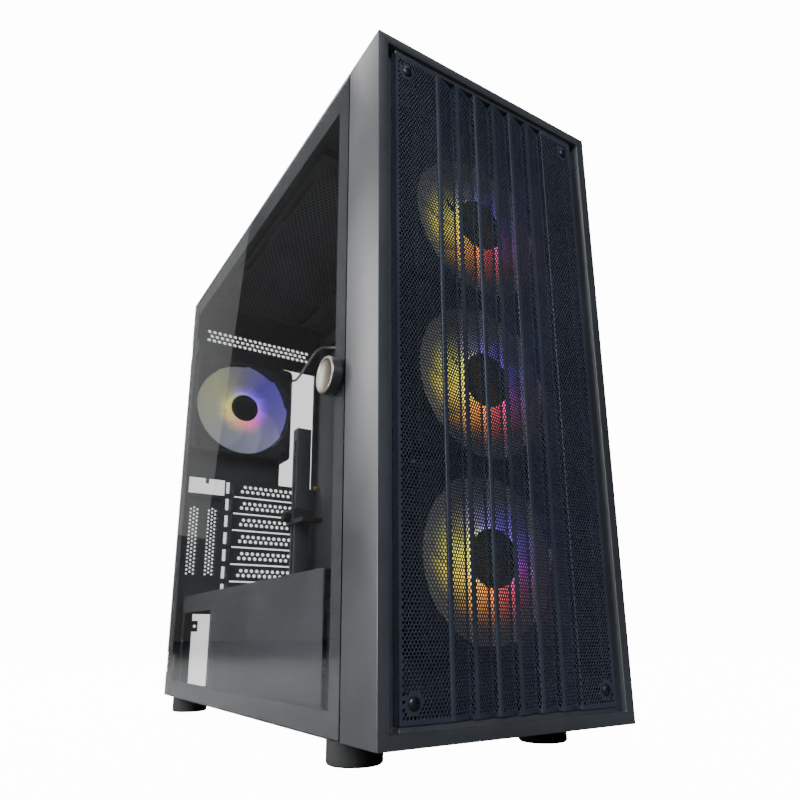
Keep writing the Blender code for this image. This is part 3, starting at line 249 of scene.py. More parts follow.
def add_rod(shape, centre, axis, radius, length, segments=24):
    """Closed rod round the centre, along the axis."""
    bmesh.ops.create_cone(
        shape, cap_ends=True, cap_tris=False, segments=segments, radius1=radius, radius2=radius, depth=length,
        matrix=Matrix.Translation(centre) @ turn_to(axis))


def add_block(shape, low, high):
    """Closed block between two corners."""
    low, high = Vector(low), Vector(high)
    size = Matrix.Diagonal((*(high - low), 1.0))
    return bmesh.ops.create_cube(shape, size=1.0, matrix=Matrix.Translation((low + high) / 2) @ size)["verts"]


def turned(centre, axis, profile, segments, slot=None):
    """Closed body of revolution from (along, radius) pairs. slot(along, away) gives each face's material."""
    shape = bmesh.new()
    centre, axis = Vector(centre), Vector(axis)
    place = Matrix.Translation(centre) @ turn_to(axis)
    verts = [shape.verts.new(place @ Vector((radius, 0, along))) for along, radius in profile]
    edges = [shape.edges.new(pair) for pair in zip(verts, verts[1:])]
    bmesh.ops.spin(
        shape, geom=verts + edges, cent=centre, axis=axis, dvec=(0, 0, 0), angle=math.tau, steps=segments,
        use_merge=True)
    for face in shape.faces if slot else ():
        reach = face.calc_center_median() - centre
        along = reach.dot(axis)
        face.material_index = slot(along, (reach - axis * along).length)
    return closed(shape)


def smooth_route(points, spacing):
    """Points at an even spacing on a smooth curve through the route's own points."""
    ends = [points[0] * 2 - points[1]] + points + [points[-1] * 2 - points[-2]]
    dense = []
    for a, b, c, d in zip(ends, ends[1:], ends[2:], ends[3:]):
        for step in range(40):
            t = step / 40
            dense.append(0.5 * (2 * b + (c - a) * t + (2 * a - 5 * b + 4 * c - d) * t * t
                                + (3 * b - a - 3 * c + d) * t ** 3))
    dense.append(points[-1])
    kept = [dense[0]]
    for place in dense[1:-1]:
        if (place - kept[-1]).length >= spacing and (place - dense[-1]).length >= spacing / 2:
            kept.append(place)
    return kept + [dense[-1]]


def closed(shape):
    """The shape with its poles merged and its faces pointing out."""
    bmesh.ops.remove_doubles(shape, verts=shape.verts, dist=1e-6)
    bmesh.ops.dissolve_degenerate(shape, dist=1e-7, edges=shape.edges)
    bmesh.ops.recalc_face_normals(shape, faces=shape.faces)
    return shape


def staggered(low_x, high_x, low_z, high_z, pitch, rows=None):
    """Centres of a staggered hole pattern inside a rectangle."""
    step = pitch * ROW_STEP
    rows = rows or int((high_z - low_z) / step) + 1
    start_z = (low_z + high_z) / 2 - (rows - 1) * step / 2
    for row in range(rows):
        columns = int((high_x - low_x - (row % 2) * pitch) / pitch) + 1
        start_x = (low_x + high_x) / 2 - (columns - 1) * pitch / 2
        for column in range(columns):
            yield start_x + column * pitch, start_z + row * step


def add_screw(shape, centre, axis, radius, height):
    """Domed screw head with a cross recess, on the face at its centre."""
    head = turned(centre, axis, [
        (0, 0), (0, radius), (height * 0.35, radius * 0.98), (height * 0.75, radius * 0.78),
        (height, radius * 0.42), (height, 0)], 24)
    top = Matrix.Translation(Vector(centre) + Vector(axis) * height) @ turn_to(axis)
    reach = radius * 1.05
    for wide, tall in ((1, 0.26), (0.26, 1)):
        recess = bmesh.new()
        size = Matrix.Diagonal((reach * wide, reach * tall, height * 0.9, 1.0))
        bmesh.ops.create_cube(recess, size=1.0, matrix=top @ size)
        head = cut(head, recess)
    join(shape, head)


# Surface effects


def set_inputs(tree, sockets, values):
    """Links each of the sockets to a socket, or sets it to a constant."""
    for key, value in values.items():
        if isinstance(value, bpy.types.NodeSocket):
            tree.links.new(value, sockets[key])
        elif value is not None:
            sockets[key].default_value = value


def add_node(tree, kind, inputs=None, **settings):
    """Shader node with its settings, and its inputs linked or set."""
    made = tree.nodes.new(f"ShaderNode{kind}")
    for key, value in settings.items():
        setattr(made, key, value)
    set_inputs(tree, made.inputs, inputs or {})
    return made


def math_node(tree, operation, a, b=None, c=None):
    return add_node(tree, "Math", {0: a, 1: b, 2: c}, operation=operation).outputs[0]


def vector_node(tree, operation, a, b=None, c=None, output="Vector"):
    return add_node(tree, "VectorMath", {0: a, 1: b, 2: c}, operation=operation).outputs[output]


def scaled(tree, vector, factor):
    return add_node(tree, "VectorMath", {0: vector, "Scale": factor}, operation="SCALE").outputs["Vector"]


def separate(tree, vector):
    return add_node(tree, "SeparateXYZ", {0: vector}).outputs


def noise(tree, place, scale, detail, roughness=None):
    inputs = {"Vector": place, "Scale": scale, "Detail": detail, "Roughness": roughness}
    return add_node(tree, "TexNoise", inputs).outputs["Fac"]


def mix_colours(tree, factor, first, second):
    return add_node(tree, "Mix", {"Factor": factor, 6: first, 7: second}, data_type="RGBA").outputs[2]


def relief(tree, height, strength, distance=0.0002):
    """Normal of a surface raised by the height."""
    inputs = {"Strength": strength, "Distance": distance, "Height": height}
    return add_node(tree, "Bump", inputs).outputs["Normal"]


def ramp(tree, factor, stops):
    made = add_node(tree, "ValToRGB", {"Fac": factor})
    while len(made.color_ramp.elements) < len(stops):
        made.color_ramp.elements.new(0.5)
    for element, (position, colour) in zip(made.color_ramp.elements, stops):
        element.position = position
        element.color = (*colour, 1.0)
    return made.outputs["Color"]


def spread(tree, value, low, high, new_low, new_high, smooth=False):
    """The value, taken from one range to another."""
    inputs = {"Value": value, "From Min": low, "From Max": high, "To Min": new_low, "To Max": new_high}
    kind = "SMOOTHSTEP" if smooth else "LINEAR"
    return add_node(tree, "MapRange", inputs, interpolation_type=kind).outputs["Result"]


def object_coordinates(tree):
    return add_node(tree, "TexCoord").outputs["Object"]


def new_group(name, inputs, outputs):
    """Empty node group with named sockets: (name, kind, default) in, (name, kind) out."""
    group = bpy.data.node_groups.new(name, "ShaderNodeTree")
    for label, kind, default in inputs:
        made = group.interface.new_socket(name=label, in_out="INPUT", socket_type=f"NodeSocket{kind}")
        made.default_value = default
    for label, kind in outputs:
        group.interface.new_socket(name=label, in_out="OUTPUT", socket_type=f"NodeSocket{kind}")
    return group, group.nodes.new("NodeGroupInput").outputs, group.nodes.new("NodeGroupOutput").inputs


def group_grain():
    """Fine orange-peel grain of paint, moulding or rubber, and broad soft marks."""
    group, given, result = new_group(
        "surface_grain", [("Grain", "Float", 900.0), ("Marks", "Float", 12.0)],
        [("Height", "Float"), ("Marks", "Float")])
    place = object_coordinates(group)
    fine = noise(group, place, given["Grain"], 2.0, 0.6)
    peel = noise(group, place, math_node(group, "MULTIPLY", given["Grain"], 0.23), 1.0)
    broad = noise(group, place, given["Marks"], 5.0, 0.65)
    height = math_node(group, "MULTIPLY_ADD", fine, 0.6, math_node(group, "MULTIPLY", peel, 0.4))
    marks = spread(group, broad, 0.35, 0.65, 0.0, 1.0, True)
    set_inputs(group, result, {"Height": height, "Marks": marks})
    return group


def group_scuffs():
    """Sparse hairline scuffs from handling and dusting."""
    group, given, result = new_group("handling_scuffs", [("Amount", "Float", 0.5)], [("Mask", "Float")])
    place = object_coordinates(group)
    masks = []
    for turn, stretch in ((0.5, (30.0, 900.0, 140.0)), (1.9, (700.0, 24.0, 90.0))):
        turned_place = {"Vector": place, "Rotation": (0.2, turn * 0.3, turn), "Scale": stretch}
        way = add_node(group, "Mapping", turned_place)
        masks.append(spread(group, noise(group, way.outputs[0], 1.0, 1.0), 0.66, 0.74, 0.0, 1.0))
    where = spread(group, noise(group, place, 9.0, 2.0), 0.45, 0.7, 0.0, 1.0)
    both = math_node(group, "MAXIMUM", *masks)
    mask = math_node(group, "MULTIPLY", math_node(group, "MULTIPLY", both, where), given["Amount"])
    set_inputs(group, result, {"Mask": mask})
    return group


def group_punched():
    """Staggered round holes of a level sheet, inside a box-shaped field."""
    group, given, result = new_group(
        "punched_field",
        [("Pitch", "Float", 0.003), ("Radius", "Float", 0.001), ("Centre", "Vector", (0, 0, 0)),
         ("Half Size", "Vector", (1, 1, 1))],
        [("Hole", "Float")])
    level = (1.0, 1.0, 0.0)
    place = vector_node(group, "SUBTRACT", object_coordinates(group), given["Centre"])
    flat = vector_node(group, "MULTIPLY", place, level)
    cell = scaled(group, (0.5, ROW_STEP, 0.5), given["Pitch"])
    low = scaled(group, cell, -1.0)
    distances = []
    for shift in (0.0, 1.0):
        shifted = vector_node(group, "MULTIPLY_ADD", cell, (shift, shift, 0.0), flat)
        wrapped = vector_node(group, "WRAP", shifted, cell, low)
        across = vector_node(group, "MULTIPLY", wrapped, level)
        distances.append(vector_node(group, "LENGTH", across, output="Value"))
    nearest = math_node(group, "MINIMUM", *distances)
    soft = math_node(group, "MULTIPLY", given["Radius"], 0.85)
    hole = spread(group, nearest, soft, given["Radius"], 1.0, 0.0)
    past = vector_node(group, "SUBTRACT", vector_node(group, "ABSOLUTE", place), given["Half Size"])
    parts = separate(group, past)
    furthest = math_node(group, "MAXIMUM", math_node(group, "MAXIMUM", parts[0], parts[1]), parts[2])
    inside = math_node(group, "LESS_THAN", furthest, 0.0)
    set_inputs(group, result, {"Hole": math_node(group, "MULTIPLY", hole, inside)})
    return group


GROUPS = {"surface_grain": group_grain, "handling_scuffs": group_scuffs, "punched_field": group_punched}


def place_group(tree, name, **values):
    """The named surface effect, built once and placed with its own values."""
    made = tree.nodes.new("ShaderNodeGroup")
    made.node_tree = bpy.data.node_groups.get(name) or GROUPS[name]()
    set_inputs(tree, made.inputs, {label.replace("_", " "): value for label, value in values.items()})
    return made.outputs


def punched_field(pitch, radius, centre, half, edge, depth=1.0):
    """Values of a field of holes that leaves an edge of a box free."""
    half_size = (half.x - edge, half.y - edge, depth)
    return {"Pitch": pitch, "Radius": radius, "Centre": centre, "Half_Size": half_size}


def new_material(name):
    """Material with a tree that holds only its shader and its output."""
    material = bpy.data.materials.new(name)
    material.use_nodes = True
    tree = material.node_tree
    tree.nodes.clear()
    shader = tree.nodes.new("ShaderNodeBsdfPrincipled")
    output = tree.nodes.new("ShaderNodeOutputMaterial")
    output.name = "shown"
    tree.links.new(shader.outputs[0], output.inputs["Surface"])
    return material, tree, shader


def show(tree, factor, first, second):
    """Ends the material's tree with a mix of two shaders."""
    chosen = add_node(tree, "MixShader", {0: factor, 1: first.outputs[0], 2: second.outputs[0]})
    tree.links.new(chosen.outputs[0], tree.nodes["shown"].inputs["Surface"])


def shade(colour, factor):
    return tuple(min(1.0, channel * factor) for channel in colour[:3]) + (1.0,)


def coated(name, colour, rough, grain=900.0, bump=0.12, scuffs=0.4, holes=None, metallic=0.0, coat=0.0,
           shine=0.5):
    """Paint, moulding or rubber: a grained coat with soft marks, scuffs and optional punched holes, whose
    holes are painted near-black as painted shade.
    """
    if name in bpy.data.materials:
        return bpy.data.materials[name]
    material, tree, shader = new_material(name)
    skin = place_group(tree, "surface_grain", Grain=grain)
    mask = place_group(tree, "handling_scuffs", Amount=scuffs)["Mask"]
    base = mix_colours(tree, skin["Marks"], shade(colour, 0.88), shade(colour, 1.12))
    base = mix_colours(tree, mask, base, shade(colour, 2.2))
    gloss = spread(tree, skin["Marks"], 0.0, 1.0, *rough)
    height = skin["Height"]
    if holes:
        hole = place_group(tree, "punched_field", **holes)["Hole"]
        # Painted shade: the holes are coloured near-black for the dark seen through them.
        base = mix_colours(tree, hole, base, HOLE_SHADE_BLACK)
        gloss = math_node(tree, "MAXIMUM", gloss, hole)
        height = math_node(tree, "SUBTRACT", height, math_node(tree, "MULTIPLY", hole, 4.0))
    set_inputs(tree, shader.inputs, {
        "Base Color": base, "Roughness": gloss, "Metallic": metallic, "Coat Weight": coat,
        "Coat Roughness": 0.3, "Specular IOR Level": shine, "Normal": relief(tree, height, bump)})
    return material


def brushed(name, colour, rough, stretch=(60.0, 60.0, 1800.0), bump=0.08):
    """Plated or brushed metal with fine lines and handling marks."""
    if name in bpy.data.materials:
        return bpy.data.materials[name]
    material, tree, shader = new_material(name)
    place = add_node(tree, "Mapping", {"Vector": object_coordinates(tree), "Scale": stretch})
    lines = noise(tree, place.outputs[0], 1.0, 3.0)
    mask = place_group(tree, "handling_scuffs", Amount=0.6)["Mask"]
    base = mix_colours(tree, lines, shade(colour, 0.86), shade(colour, 1.1))
    base = mix_colours(tree, mask, base, shade(colour, 1.4))
    set_inputs(tree, shader.inputs, {
        "Base Color": base, "Roughness": spread(tree, lines, 0.3, 0.7, *rough), "Metallic": 1.0,
        "Normal": relief(tree, lines, bump, 0.0001)})
    return material


def bezel_paint():
    return coated("bezel_satin_paint", finish().bezel, (0.36, 0.46), 1400.0, 0.05, 0.25, coat=0.15)


def steel_paint():
    return coated("chassis_powder_coat", finish().steel, (0.50, 0.62), 1100.0, 0.14)


def mesh_paint():
    return coated("mesh_powder_coat", finish().mesh, (0.42, 0.54), 1600.0, 0.10, 0.1, shine=0.3)


def panel_paint():
    return coated("side_panel_paint", shade(finish().steel, 1.1), (0.42, 0.52), 1300.0, 0.08, 0.12)


def black_plastic():
    return coated("black_moulded_plastic", finish().plastic, (0.44, 0.60), 700.0, 0.20, 0.2)


def black_screw():
    return coated("black_oxide_screw", shade(finish().plastic, 2.2), (0.32, 0.46), 2000.0, 0.1, metallic=0.7)


def rubber():
    return coated("soft_black_rubber", finish().rubber, (0.72, 0.88), 520.0, 0.35, 0.6)


def bright_steel():
    return brushed("plain_pin_steel", (0.62, 0.62, 0.63, 1.0), (0.24, 0.38))


def brass():
    return brushed("brass_stand_off", (0.72, 0.52, 0.24, 1.0), (0.28, 0.42))


def finish():
    return bpy.context.scene.tower_finish


def pattern():
    return bpy.context.scene.tower_pattern


def studio():
    return bpy.context.scene.tower_studio


# Pieces


CAMERA_PLACE = (-180.85, -311.76, 57.10)
CAMERA_TURNS = ((-32.641, "Z"), (104.810, "X"), (-0.502, "Z"))


class TOWER_OT_camera(bpy.types.Operator):
    """Places the camera low in front of the left corner"""

    bl_idname = "tower.camera"
    bl_label = "Camera"

    def execute(self, context):
        data = bpy.data.cameras.new("tower_camera")
        data.sensor_width = 36.0
        data.lens = 29.457
        data.shift_x = -0.00706
        data.shift_y = 0.0808
        data.clip_start = 0.01
        camera = bpy.data.objects.new("tower_camera", data)
        pose = Matrix.Translation(spot(*CAMERA_PLACE))
        for degrees, axis in CAMERA_TURNS:
            pose = pose @ Matrix.Rotation(math.radians(degrees), 4, axis)
        camera.matrix_world = pose
        context.scene.collection.objects.link(camera)
        context.scene.camera = camera
        return {"FINISHED"}


MIDDLE = (0.0, 0.0, 0.24)
NEUTRAL = (1.0, 1.0, 1.0)
COOL = (0.76, 0.86, 1.0)
SOFTBOXES = [
    ("key_softbox", (-2.1, -0.3, 1.3), MIDDLE, 1.2, 1.2, 54.0),
    ("side_softbox", (-1.32, 1.02, 1.06), (-0.1, -0.2, 0.28), 0.9, 0.9, 21.0),
    ("top_softbox", (0.1, 0.3, 2.3), MIDDLE, 1.6, 1.6, 45.0),
    ("right_softbox", (1.9, 0.9, 1.2), MIDDLE, 1.0, 1.2, 40.0),
    ("rear_softbox", (0.6, 2.2, 1.2), MIDDLE, 1.2, 1.0, 40.0),
    ("low_softbox", (-1.2, 0.1, 0.16), (0.0, 0.05, 0.46), 0.5, 0.2, 13.0),
    ("front_softbox", (-1.0, -1.9, 1.1), MIDDLE, 0.8, 0.8, 52.0, COOL),
    ("left_card", (-0.525, 1.95, 1.18), (-0.525, 0.0, 1.18), 0.27, 1.46, 0.34, NEUTRAL, -4.0)]


def add_softbox(name, centre, target, width, height, power, colour=NEUTRAL, roll=0.0):
    """Rectangular lamp aimed at a target, lighting the object and its mirrored reflections only."""
    data = bpy.data.lights.new(name, "AREA")
    data.shape = "RECTANGLE"
    data.size = width
    data.size_y = height
    data.energy = power
    data.color = colour
    light = bpy.data.objects.new(name, data)
    look = (Vector(target) - Vector(centre)).to_track_quat("-Z", "Y").to_matrix().to_4x4()
    light.matrix_world = Matrix.Translation(centre) @ look @ Matrix.Rotation(math.radians(roll), 4, "Z")
    light.visible_camera = False
    light.visible_transmission = False
    bpy.context.scene.collection.objects.link(light)


class TOWER_OT_stage(bpy.types.Operator):
    """Lays the plain floor and hangs the soft lights"""

    bl_idname = "tower.stage"
    bl_label = "Floor and lights"

    def execute(self, context):
        context.scene.world = self.surroundings()
        self.floor()
        for row in SOFTBOXES:
            add_softbox(*row)
        return {"FINISHED"}

    def seen_directly(self, tree, beyond):
        """Share of the backdrop's light: all past the object, less through its glass, none mirrored."""
        seen = add_node(tree, "LightPath").outputs
        through = math_node(tree, "MULTIPLY", seen["Is Transmission Ray"], beyond)
        through = math_node(tree, "MULTIPLY", through, studio().through)
        return math_node(tree, "MAXIMUM", seen["Is Camera Ray"], through)

    def surroundings(self):
        """World that is bright where it is seen directly and gives a faint fill elsewhere."""
        world = bpy.data.worlds.new("plain_studio")
        world.use_nodes = True
        tree = world.node_tree
        tree.nodes.clear()
        towards = separate(tree, add_node(tree, "TexCoord").outputs["Generated"])
        direct = self.seen_directly(tree, math_node(tree, "GREATER_THAN", towards["X"], 0.0))
        strength = spread(tree, direct, 0.0, 1.0, studio().fill, studio().backdrop)
        light = add_node(tree, "Background", {"Color": WHITE, "Strength": strength})
        output = tree.nodes.new("ShaderNodeOutputWorld")
        tree.links.new(light.outputs[0], output.inputs["Surface"])
        return world

    def floor(self):
        """Pale floor that shines like the backdrop where it is seen directly."""
        shape = bmesh.new()
        bmesh.ops.create_grid(shape, x_segments=2, y_segments=2, size=30.0)
        floor = as_object("floor", shape)
        material, tree, shader = new_material("floor_paint")
        skin = place_group(tree, "surface_grain", Grain=60.0, Marks=1.5)
        bounced = shade(studio().floor, studio().bounce)
        base = mix_colours(tree, skin["Marks"], shade(bounced, 0.985), bounced)
        set_inputs(tree, shader.inputs, {"Base Color": base, "Roughness": 0.85})
        glow = add_node(tree, "Emission", {"Color": WHITE, "Strength": studio().backdrop})
        both = add_node(tree, "AddShader", {0: shader.outputs[0], 1: glow.outputs[0]})
        side = separate(tree, object_coordinates(tree))["X"]
        beyond = math_node(tree, "GREATER_THAN", side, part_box("glass_door")[0].x)
        show(tree, self.seen_directly(tree, beyond), shader, both)
        floor.data.materials.append(material)


class TOWER_OT_bezel(bpy.types.Operator):
    """Paints the bezel and sets its four domed screws"""

    bl_idname = "tower.bezel"
    bl_label = "Bezel and screws"

    def execute(self, context):
        refine(bezel_paint(), 0.0006, "front_bezel")
        for number in range(1, 5):
            node = f"mesh_screw_{number}"
            low, high, centre = box_of(node)
            radius = (high.x - low.x) / 2
            shape = bmesh.new()
            add_screw(shape, (centre.x, low.y + 0.0017, centre.z), (0, -1, 0), radius, 0.0017)
            add_rod(shape, (centre.x, centre.y + 0.001, centre.z), (0, 1, 0), radius * 0.5,
                    high.y - low.y - 0.0022, 16)
            add_piece(f"{node}_head", shape, black_screw(), node=node)
        return {"FINISHED"}


def hexagon_field(width, height, pitch, origin):
    """Touching hexagons that cover a rectangle of the XY plane, made by doubling one."""
    row = pitch * ROW_STEP
    shape = bmesh.new()
    bmesh.ops.create_circle(
        shape, cap_ends=True, segments=6, radius=pitch / math.sqrt(3), matrix=Matrix.Translation(origin))

    def repeat(step):
        copied = bmesh.ops.duplicate(shape, geom=everything(shape))
        fresh = [item for item in copied["geom"] if isinstance(item, bmesh.types.BMVert)]
        bmesh.ops.translate(shape, vec=step, verts=fresh)

    repeat((pitch / 2, row, 0))
    columns = 1
    while columns * pitch < width + 2 * pitch:
        repeat((columns * pitch, 0, 0))
        columns *= 2
    rows = 2
    while rows * row < height + 2 * row:
        repeat((0, rows * row, 0))
        rows *= 2
    bmesh.ops.remove_doubles(shape, verts=shape.verts, dist=pitch * 0.02)
    return shape


def bisect(shape, axis, position, **cleared):
    """Cuts the shape along the plane across an axis, and clears a side of it."""
    normal = Vector([float(number == axis) for number in range(3)])
    bmesh.ops.bisect_plane(
        shape, geom=everything(shape), dist=1e-7, plane_co=normal * position, plane_no=normal, **cleared)


def keep_between(shape, axis, low, high):
    bisect(shape, axis, low, clear_inner=True)
    bisect(shape, axis, high, clear_outer=True)


class FoldedSheet:
    """Plan of the pleated front mesh, and the way along it."""

    RIB_X, RIB_W, PITCH, DEPTH, LEAN, BAYS = 49.2, 3.0, 17.25, 4.2, 0.6, 6

    def __init__(self):
        low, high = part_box("front_mesh")
        self.low_z, self.high_z = low.z, high.z
        front, back = low.y, high.y
        line = [Vector((low.x, back)), Vector((low.x, front))]
        for bay in range(self.BAYS):
            rib = CORNER.x + (self.RIB_X + bay * self.PITCH) * MM
            line.append(Vector((rib, front)))
            line.append(Vector((rib + self.RIB_W * MM, front)))
            line.append(Vector((rib + (self.PITCH - self.LEAN) * MM, front + self.DEPTH * MM)))
        rib = CORNER.x + (self.RIB_X + self.BAYS * self.PITCH) * MM
        line += [Vector((rib, front)), Vector((high.x, front)), Vector((high.x, back))]
        self.line = line
        self.along = [0.0]
        for a, b in zip(line, line[1:]):
            self.along.append(self.along[-1] + (b - a).length)
        centres = [box_of(f"mesh_screw_{number}")[2] for number in range(1, 5)]
        self.screws = [(centre.x, centre.z) for centre in centres]

    def place(self, distance):
        """Point of the plan at a distance along it."""
        for number, (start, end) in enumerate(zip(self.along, self.along[1:])):
            if distance <= end + 1e-9:
                share = (distance - start) / (end - start)
                return self.line[number].lerp(self.line[number + 1], share)
        return self.line[-1]

    def solid(self, distance, z):
        """Whether the sheet has no holes here: its margins, ribs, and round its screws."""
        margin = pattern().mesh_margin
        if not self.low_z + margin < z < self.high_z - margin:
            return True
        if not self.along[1] + margin * 0.8 <= distance <= self.along[-2] - margin * 0.8:
            return True
        for rib in range(2, 2 + 3 * self.BAYS, 3):
            if self.along[rib] < distance < self.along[rib + 1]:
                return True
        place = self.place(distance)
        return any(math.hypot(place.x - x, z - height) < SCREW_CLEARANCE for x, height in self.screws)


MESH_STRIPS = {
    "mesh_left_strip": (0, 2), "mesh_pleats_left": (2, 8), "mesh_pleats_middle": (8, 14),
    "mesh_pleats_right": (14, 20), "mesh_right_strip": (20, -1)}


class TOWER_OT_front_mesh(bpy.types.Operator):
    """Punches and folds the pleated front mesh in five strips"""

    bl_idname = "tower.front_mesh"
    bl_label = "Front mesh"

    def execute(self, context):
        sheet = FoldedSheet()
        for name, (first, last) in MESH_STRIPS.items():
            self.strip(name, sheet, first, last % len(sheet.along))
        return {"FINISHED"}

    def strip(self, name, sheet, first, last):
        """Part of the sheet between two folds, punched flat and then folded."""
        pitch = pattern().mesh_pitch
        start, end = sheet.along[first], sheet.along[last]
        phase = math.floor(start / pitch) * pitch
        origin = (phase - pitch / 2, sheet.low_z - pitch, 0.0)
        height = sheet.high_z - sheet.low_z + 2 * pitch
        shape = hexagon_field(end - phase + pitch, height, pitch, origin)
        half_hole = 0.5 * shape.faces[:][0].calc_area()
        keep_between(shape, 1, sheet.low_z, sheet.high_z)
        keep_between(shape, 0, start, end)
        for fold in sheet.along[first + 1:last]:
            bisect(shape, 0, fold)
        holes = [
            face for face in shape.faces
            if face.calc_area() > half_hole and not sheet.solid(*face.calc_center_median().xy)]
        bmesh.ops.inset_individual(
            shape, faces=holes, thickness=pattern().mesh_web / 2, use_even_offset=True)
        bmesh.ops.delete(shape, geom=holes, context="FACES")
        for vert in shape.verts:
            plan = sheet.place(vert.co.x)
            vert.co = (plan.x, plan.y, vert.co.y)
        shape.normal_update()
        if sum(face.normal.y * face.calc_area() for face in shape.faces) > 0:
            bmesh.ops.reverse_faces(shape, faces=shape.faces)
        wall = add_piece(name, shape, mesh_paint(), node="front_mesh", angle=20.0).modifiers.new(
            "wall", "SOLIDIFY")
        wall.thickness = 0.0008
        wall.offset = -1.0


FRONT_GLOW = [
    (0.0, (0.7, 0.66, 0.01)), (0.13, (0.85, 0.48, 0.01)), (0.25, (1.0, 0.2, 0.0)),
    (0.36, (0.85, 0.0, 0.12)), (0.45, (0.55, 0.0, 0.6)), (0.55, (0.24, 0.01, 0.95)),
    (0.66, (0.14, 0.03, 1.0)), (0.77, (0.3, 0.2, 0.8)), (0.88, (0.5, 0.52, 0.1)), (1.0, (0.7, 0.66, 0.01))]
FRONT_REACH = [
    (0.0, 1.0), (0.25, 0.85), (0.38, 0.7), (0.5, 0.6), (0.66, 0.42), (0.8, 0.26), (0.92, 0.6), (1.0, 1.0)]
FRONT_DISC = [
    (0.0, (0.016, 0.0155, 0.0135)), (0.5, (0.0145, 0.0135, 0.015)), (1.0, (0.016, 0.0155, 0.0135))]
REAR_GLOW = [
    (0.0, (0.7, 0.62, 0.02)), (0.13, (0.95, 0.48, 0.01)), (0.25, (1.0, 0.16, 0.02)),
    (0.36, (0.95, 0.0, 0.35)), (0.46, (0.5, 0.01, 0.95)), (0.6, (0.2, 0.04, 1.0)), (0.72, (0.2, 0.08, 1.0)),
    (0.82, (0.3, 0.28, 0.75)), (0.9, (0.5, 0.5, 0.12)), (1.0, (0.7, 0.62, 0.02))]
REAR_REACH = [
    (0.0, 0.6), (0.25, 0.7), (0.38, 0.9), (0.5, 1.0), (0.66, 0.9), (0.8, 0.5), (0.92, 0.5), (1.0, 0.6)]
REAR_DISC = [
    (0.0, (0.25, 0.26, 0.16)), (0.2, (0.18, 0.2, 0.25)), (0.35, (0.15, 0.15, 0.25)),
    (0.5, (0.08, 0.06, 0.3)), (0.65, (0.05, 0.03, 0.3)), (0.76, (0.12, 0.11, 0.17)),
    (0.88, (0.24, 0.25, 0.12)), (1.0, (0.25, 0.26, 0.16))]
FRONT_LOOK = (FRONT_GLOW, FRONT_REACH, FRONT_DISC, 0.048, 4.6)
REAR_LOOK = (REAR_GLOW, REAR_REACH, REAR_DISC, 0.036, 1.6)
FRONT_CAP, REAR_CAP = 0.0195, 0.0166
FANS = [("front", f"_{number}", FRONT_LOOK, FRONT_CAP) for number in (1, 2, 3)] + [
    ("rear", "", REAR_LOOK, REAR_CAP)]
PAD_PROFILE = [
    (0.0, 0.0030), (-0.0002, 0.0032), (-0.0002, 0.0058), (0.0, 0.0062), (0.0003, 0.0062), (0.0003, 0.0030),
    (0.0, 0.0030)]
HUB_PROFILE = [
    (0.0, 0.0), (0.0, 0.0118), (0.0005, 0.0122), (0.0005, 0.0134), (0.0, 0.0138), (0.0002, 0.0166),
    (0.0003, 0.0185), (0.0008, 0.0199), (0.0020, HUB_RADIUS), (0.0185, HUB_RADIUS), (0.0185, 0.0180),
    (0.0185, 0.0)]


def glowing_blade(name, centre, glow, reaches, disc, reach, strength):
    """Frosted blade plastic, lit from the hub in a colour that turns round the fan."""
    material, tree, shader = new_material(name)
    place = add_node(tree, "Mapping", {"Vector": object_coordinates(tree), "Location": -centre})
    parts = separate(tree, place.outputs[0])
    angle = math_node(tree, "ARCTAN2", parts["Z"], parts["X"])
    turn = spread(tree, angle, -math.pi, math.pi, 0.0, 1.0)
    squares = [math_node(tree, "POWER", parts[axis], 2.0) for axis in "XZ"]
    radius = math_node(tree, "SQRT", math_node(tree, "ADD", *squares))
    wide = math_node(tree, "POWER", spread(tree, radius, HUB_RADIUS, reach, 1.0, 0.0), 1.9)
    wide = math_node(tree, "MULTIPLY", wide, ramp(tree, turn, [(at, (level,) * 3) for at, level in reaches]))
    ring = math_node(tree, "MULTIPLY", spread(tree, radius, HUB_RADIUS, 0.0245, 1.0, 0.0, True), 0.8)
    skin = place_group(tree, "surface_grain", Grain=600.0, Marks=40.0)
    uneven = spread(tree, skin["Marks"], 0.0, 1.0, 0.85, 1.1)
    level = math_node(tree, "MULTIPLY", math_node(tree, "MAXIMUM", wide, ring), uneven)
    lit = scaled(tree, ramp(tree, turn, glow), level)
    set_inputs(tree, shader.inputs, {
        "Emission Color": vector_node(tree, "ADD", lit, ramp(tree, turn, disc)),
        "Emission Strength": strength,
        "Base Color": mix_colours(tree, skin["Marks"], (0.075, 0.068, 0.064, 1.0), (0.105, 0.095, 0.09, 1.0)),
        "Roughness": spread(tree, skin["Marks"], 0.0, 1.0, 0.32, 0.42),
        "Normal": relief(tree, skin["Height"], 0.1)})
    return material


def fan_blades(centre, front, blades):
    """Swept, twisted blades round a hub whose front face is at the given y."""
    shape = bmesh.new()
    made = bmesh.ops.create_grid(shape, x_segments=8, y_segments=12, size=0.5)
    for vert in made["verts"]:
        chord, reach = vert.co.x + 0.5, vert.co.y + 0.5
        bow = math.sin(math.pi * chord)
        radius = 0.0198 + reach * 0.0362
        angle = -math.radians(53.0 - 3.0 * reach) * chord - 0.55 * reach ** 1.4 + 0.12 * bow * reach
        depth = 0.0028 + (0.0085 - 0.0030 * reach) * chord + 0.0014 * bow
        vert.co = (centre.x + radius * math.cos(angle), front + depth, centre.z + radius * math.sin(angle))
    bmesh.ops.solidify(shape, geom=shape.faces[:], thickness=-0.0013)
    bmesh.ops.recalc_face_normals(shape, faces=shape.faces)
    bmesh.ops.spin(
        shape, geom=everything(shape), cent=centre, axis=(0, 1, 0), dvec=(0, 0, 0),
        angle=math.tau * (blades - 1) / blades, steps=blades - 1, use_duplicate=True)
    return shape


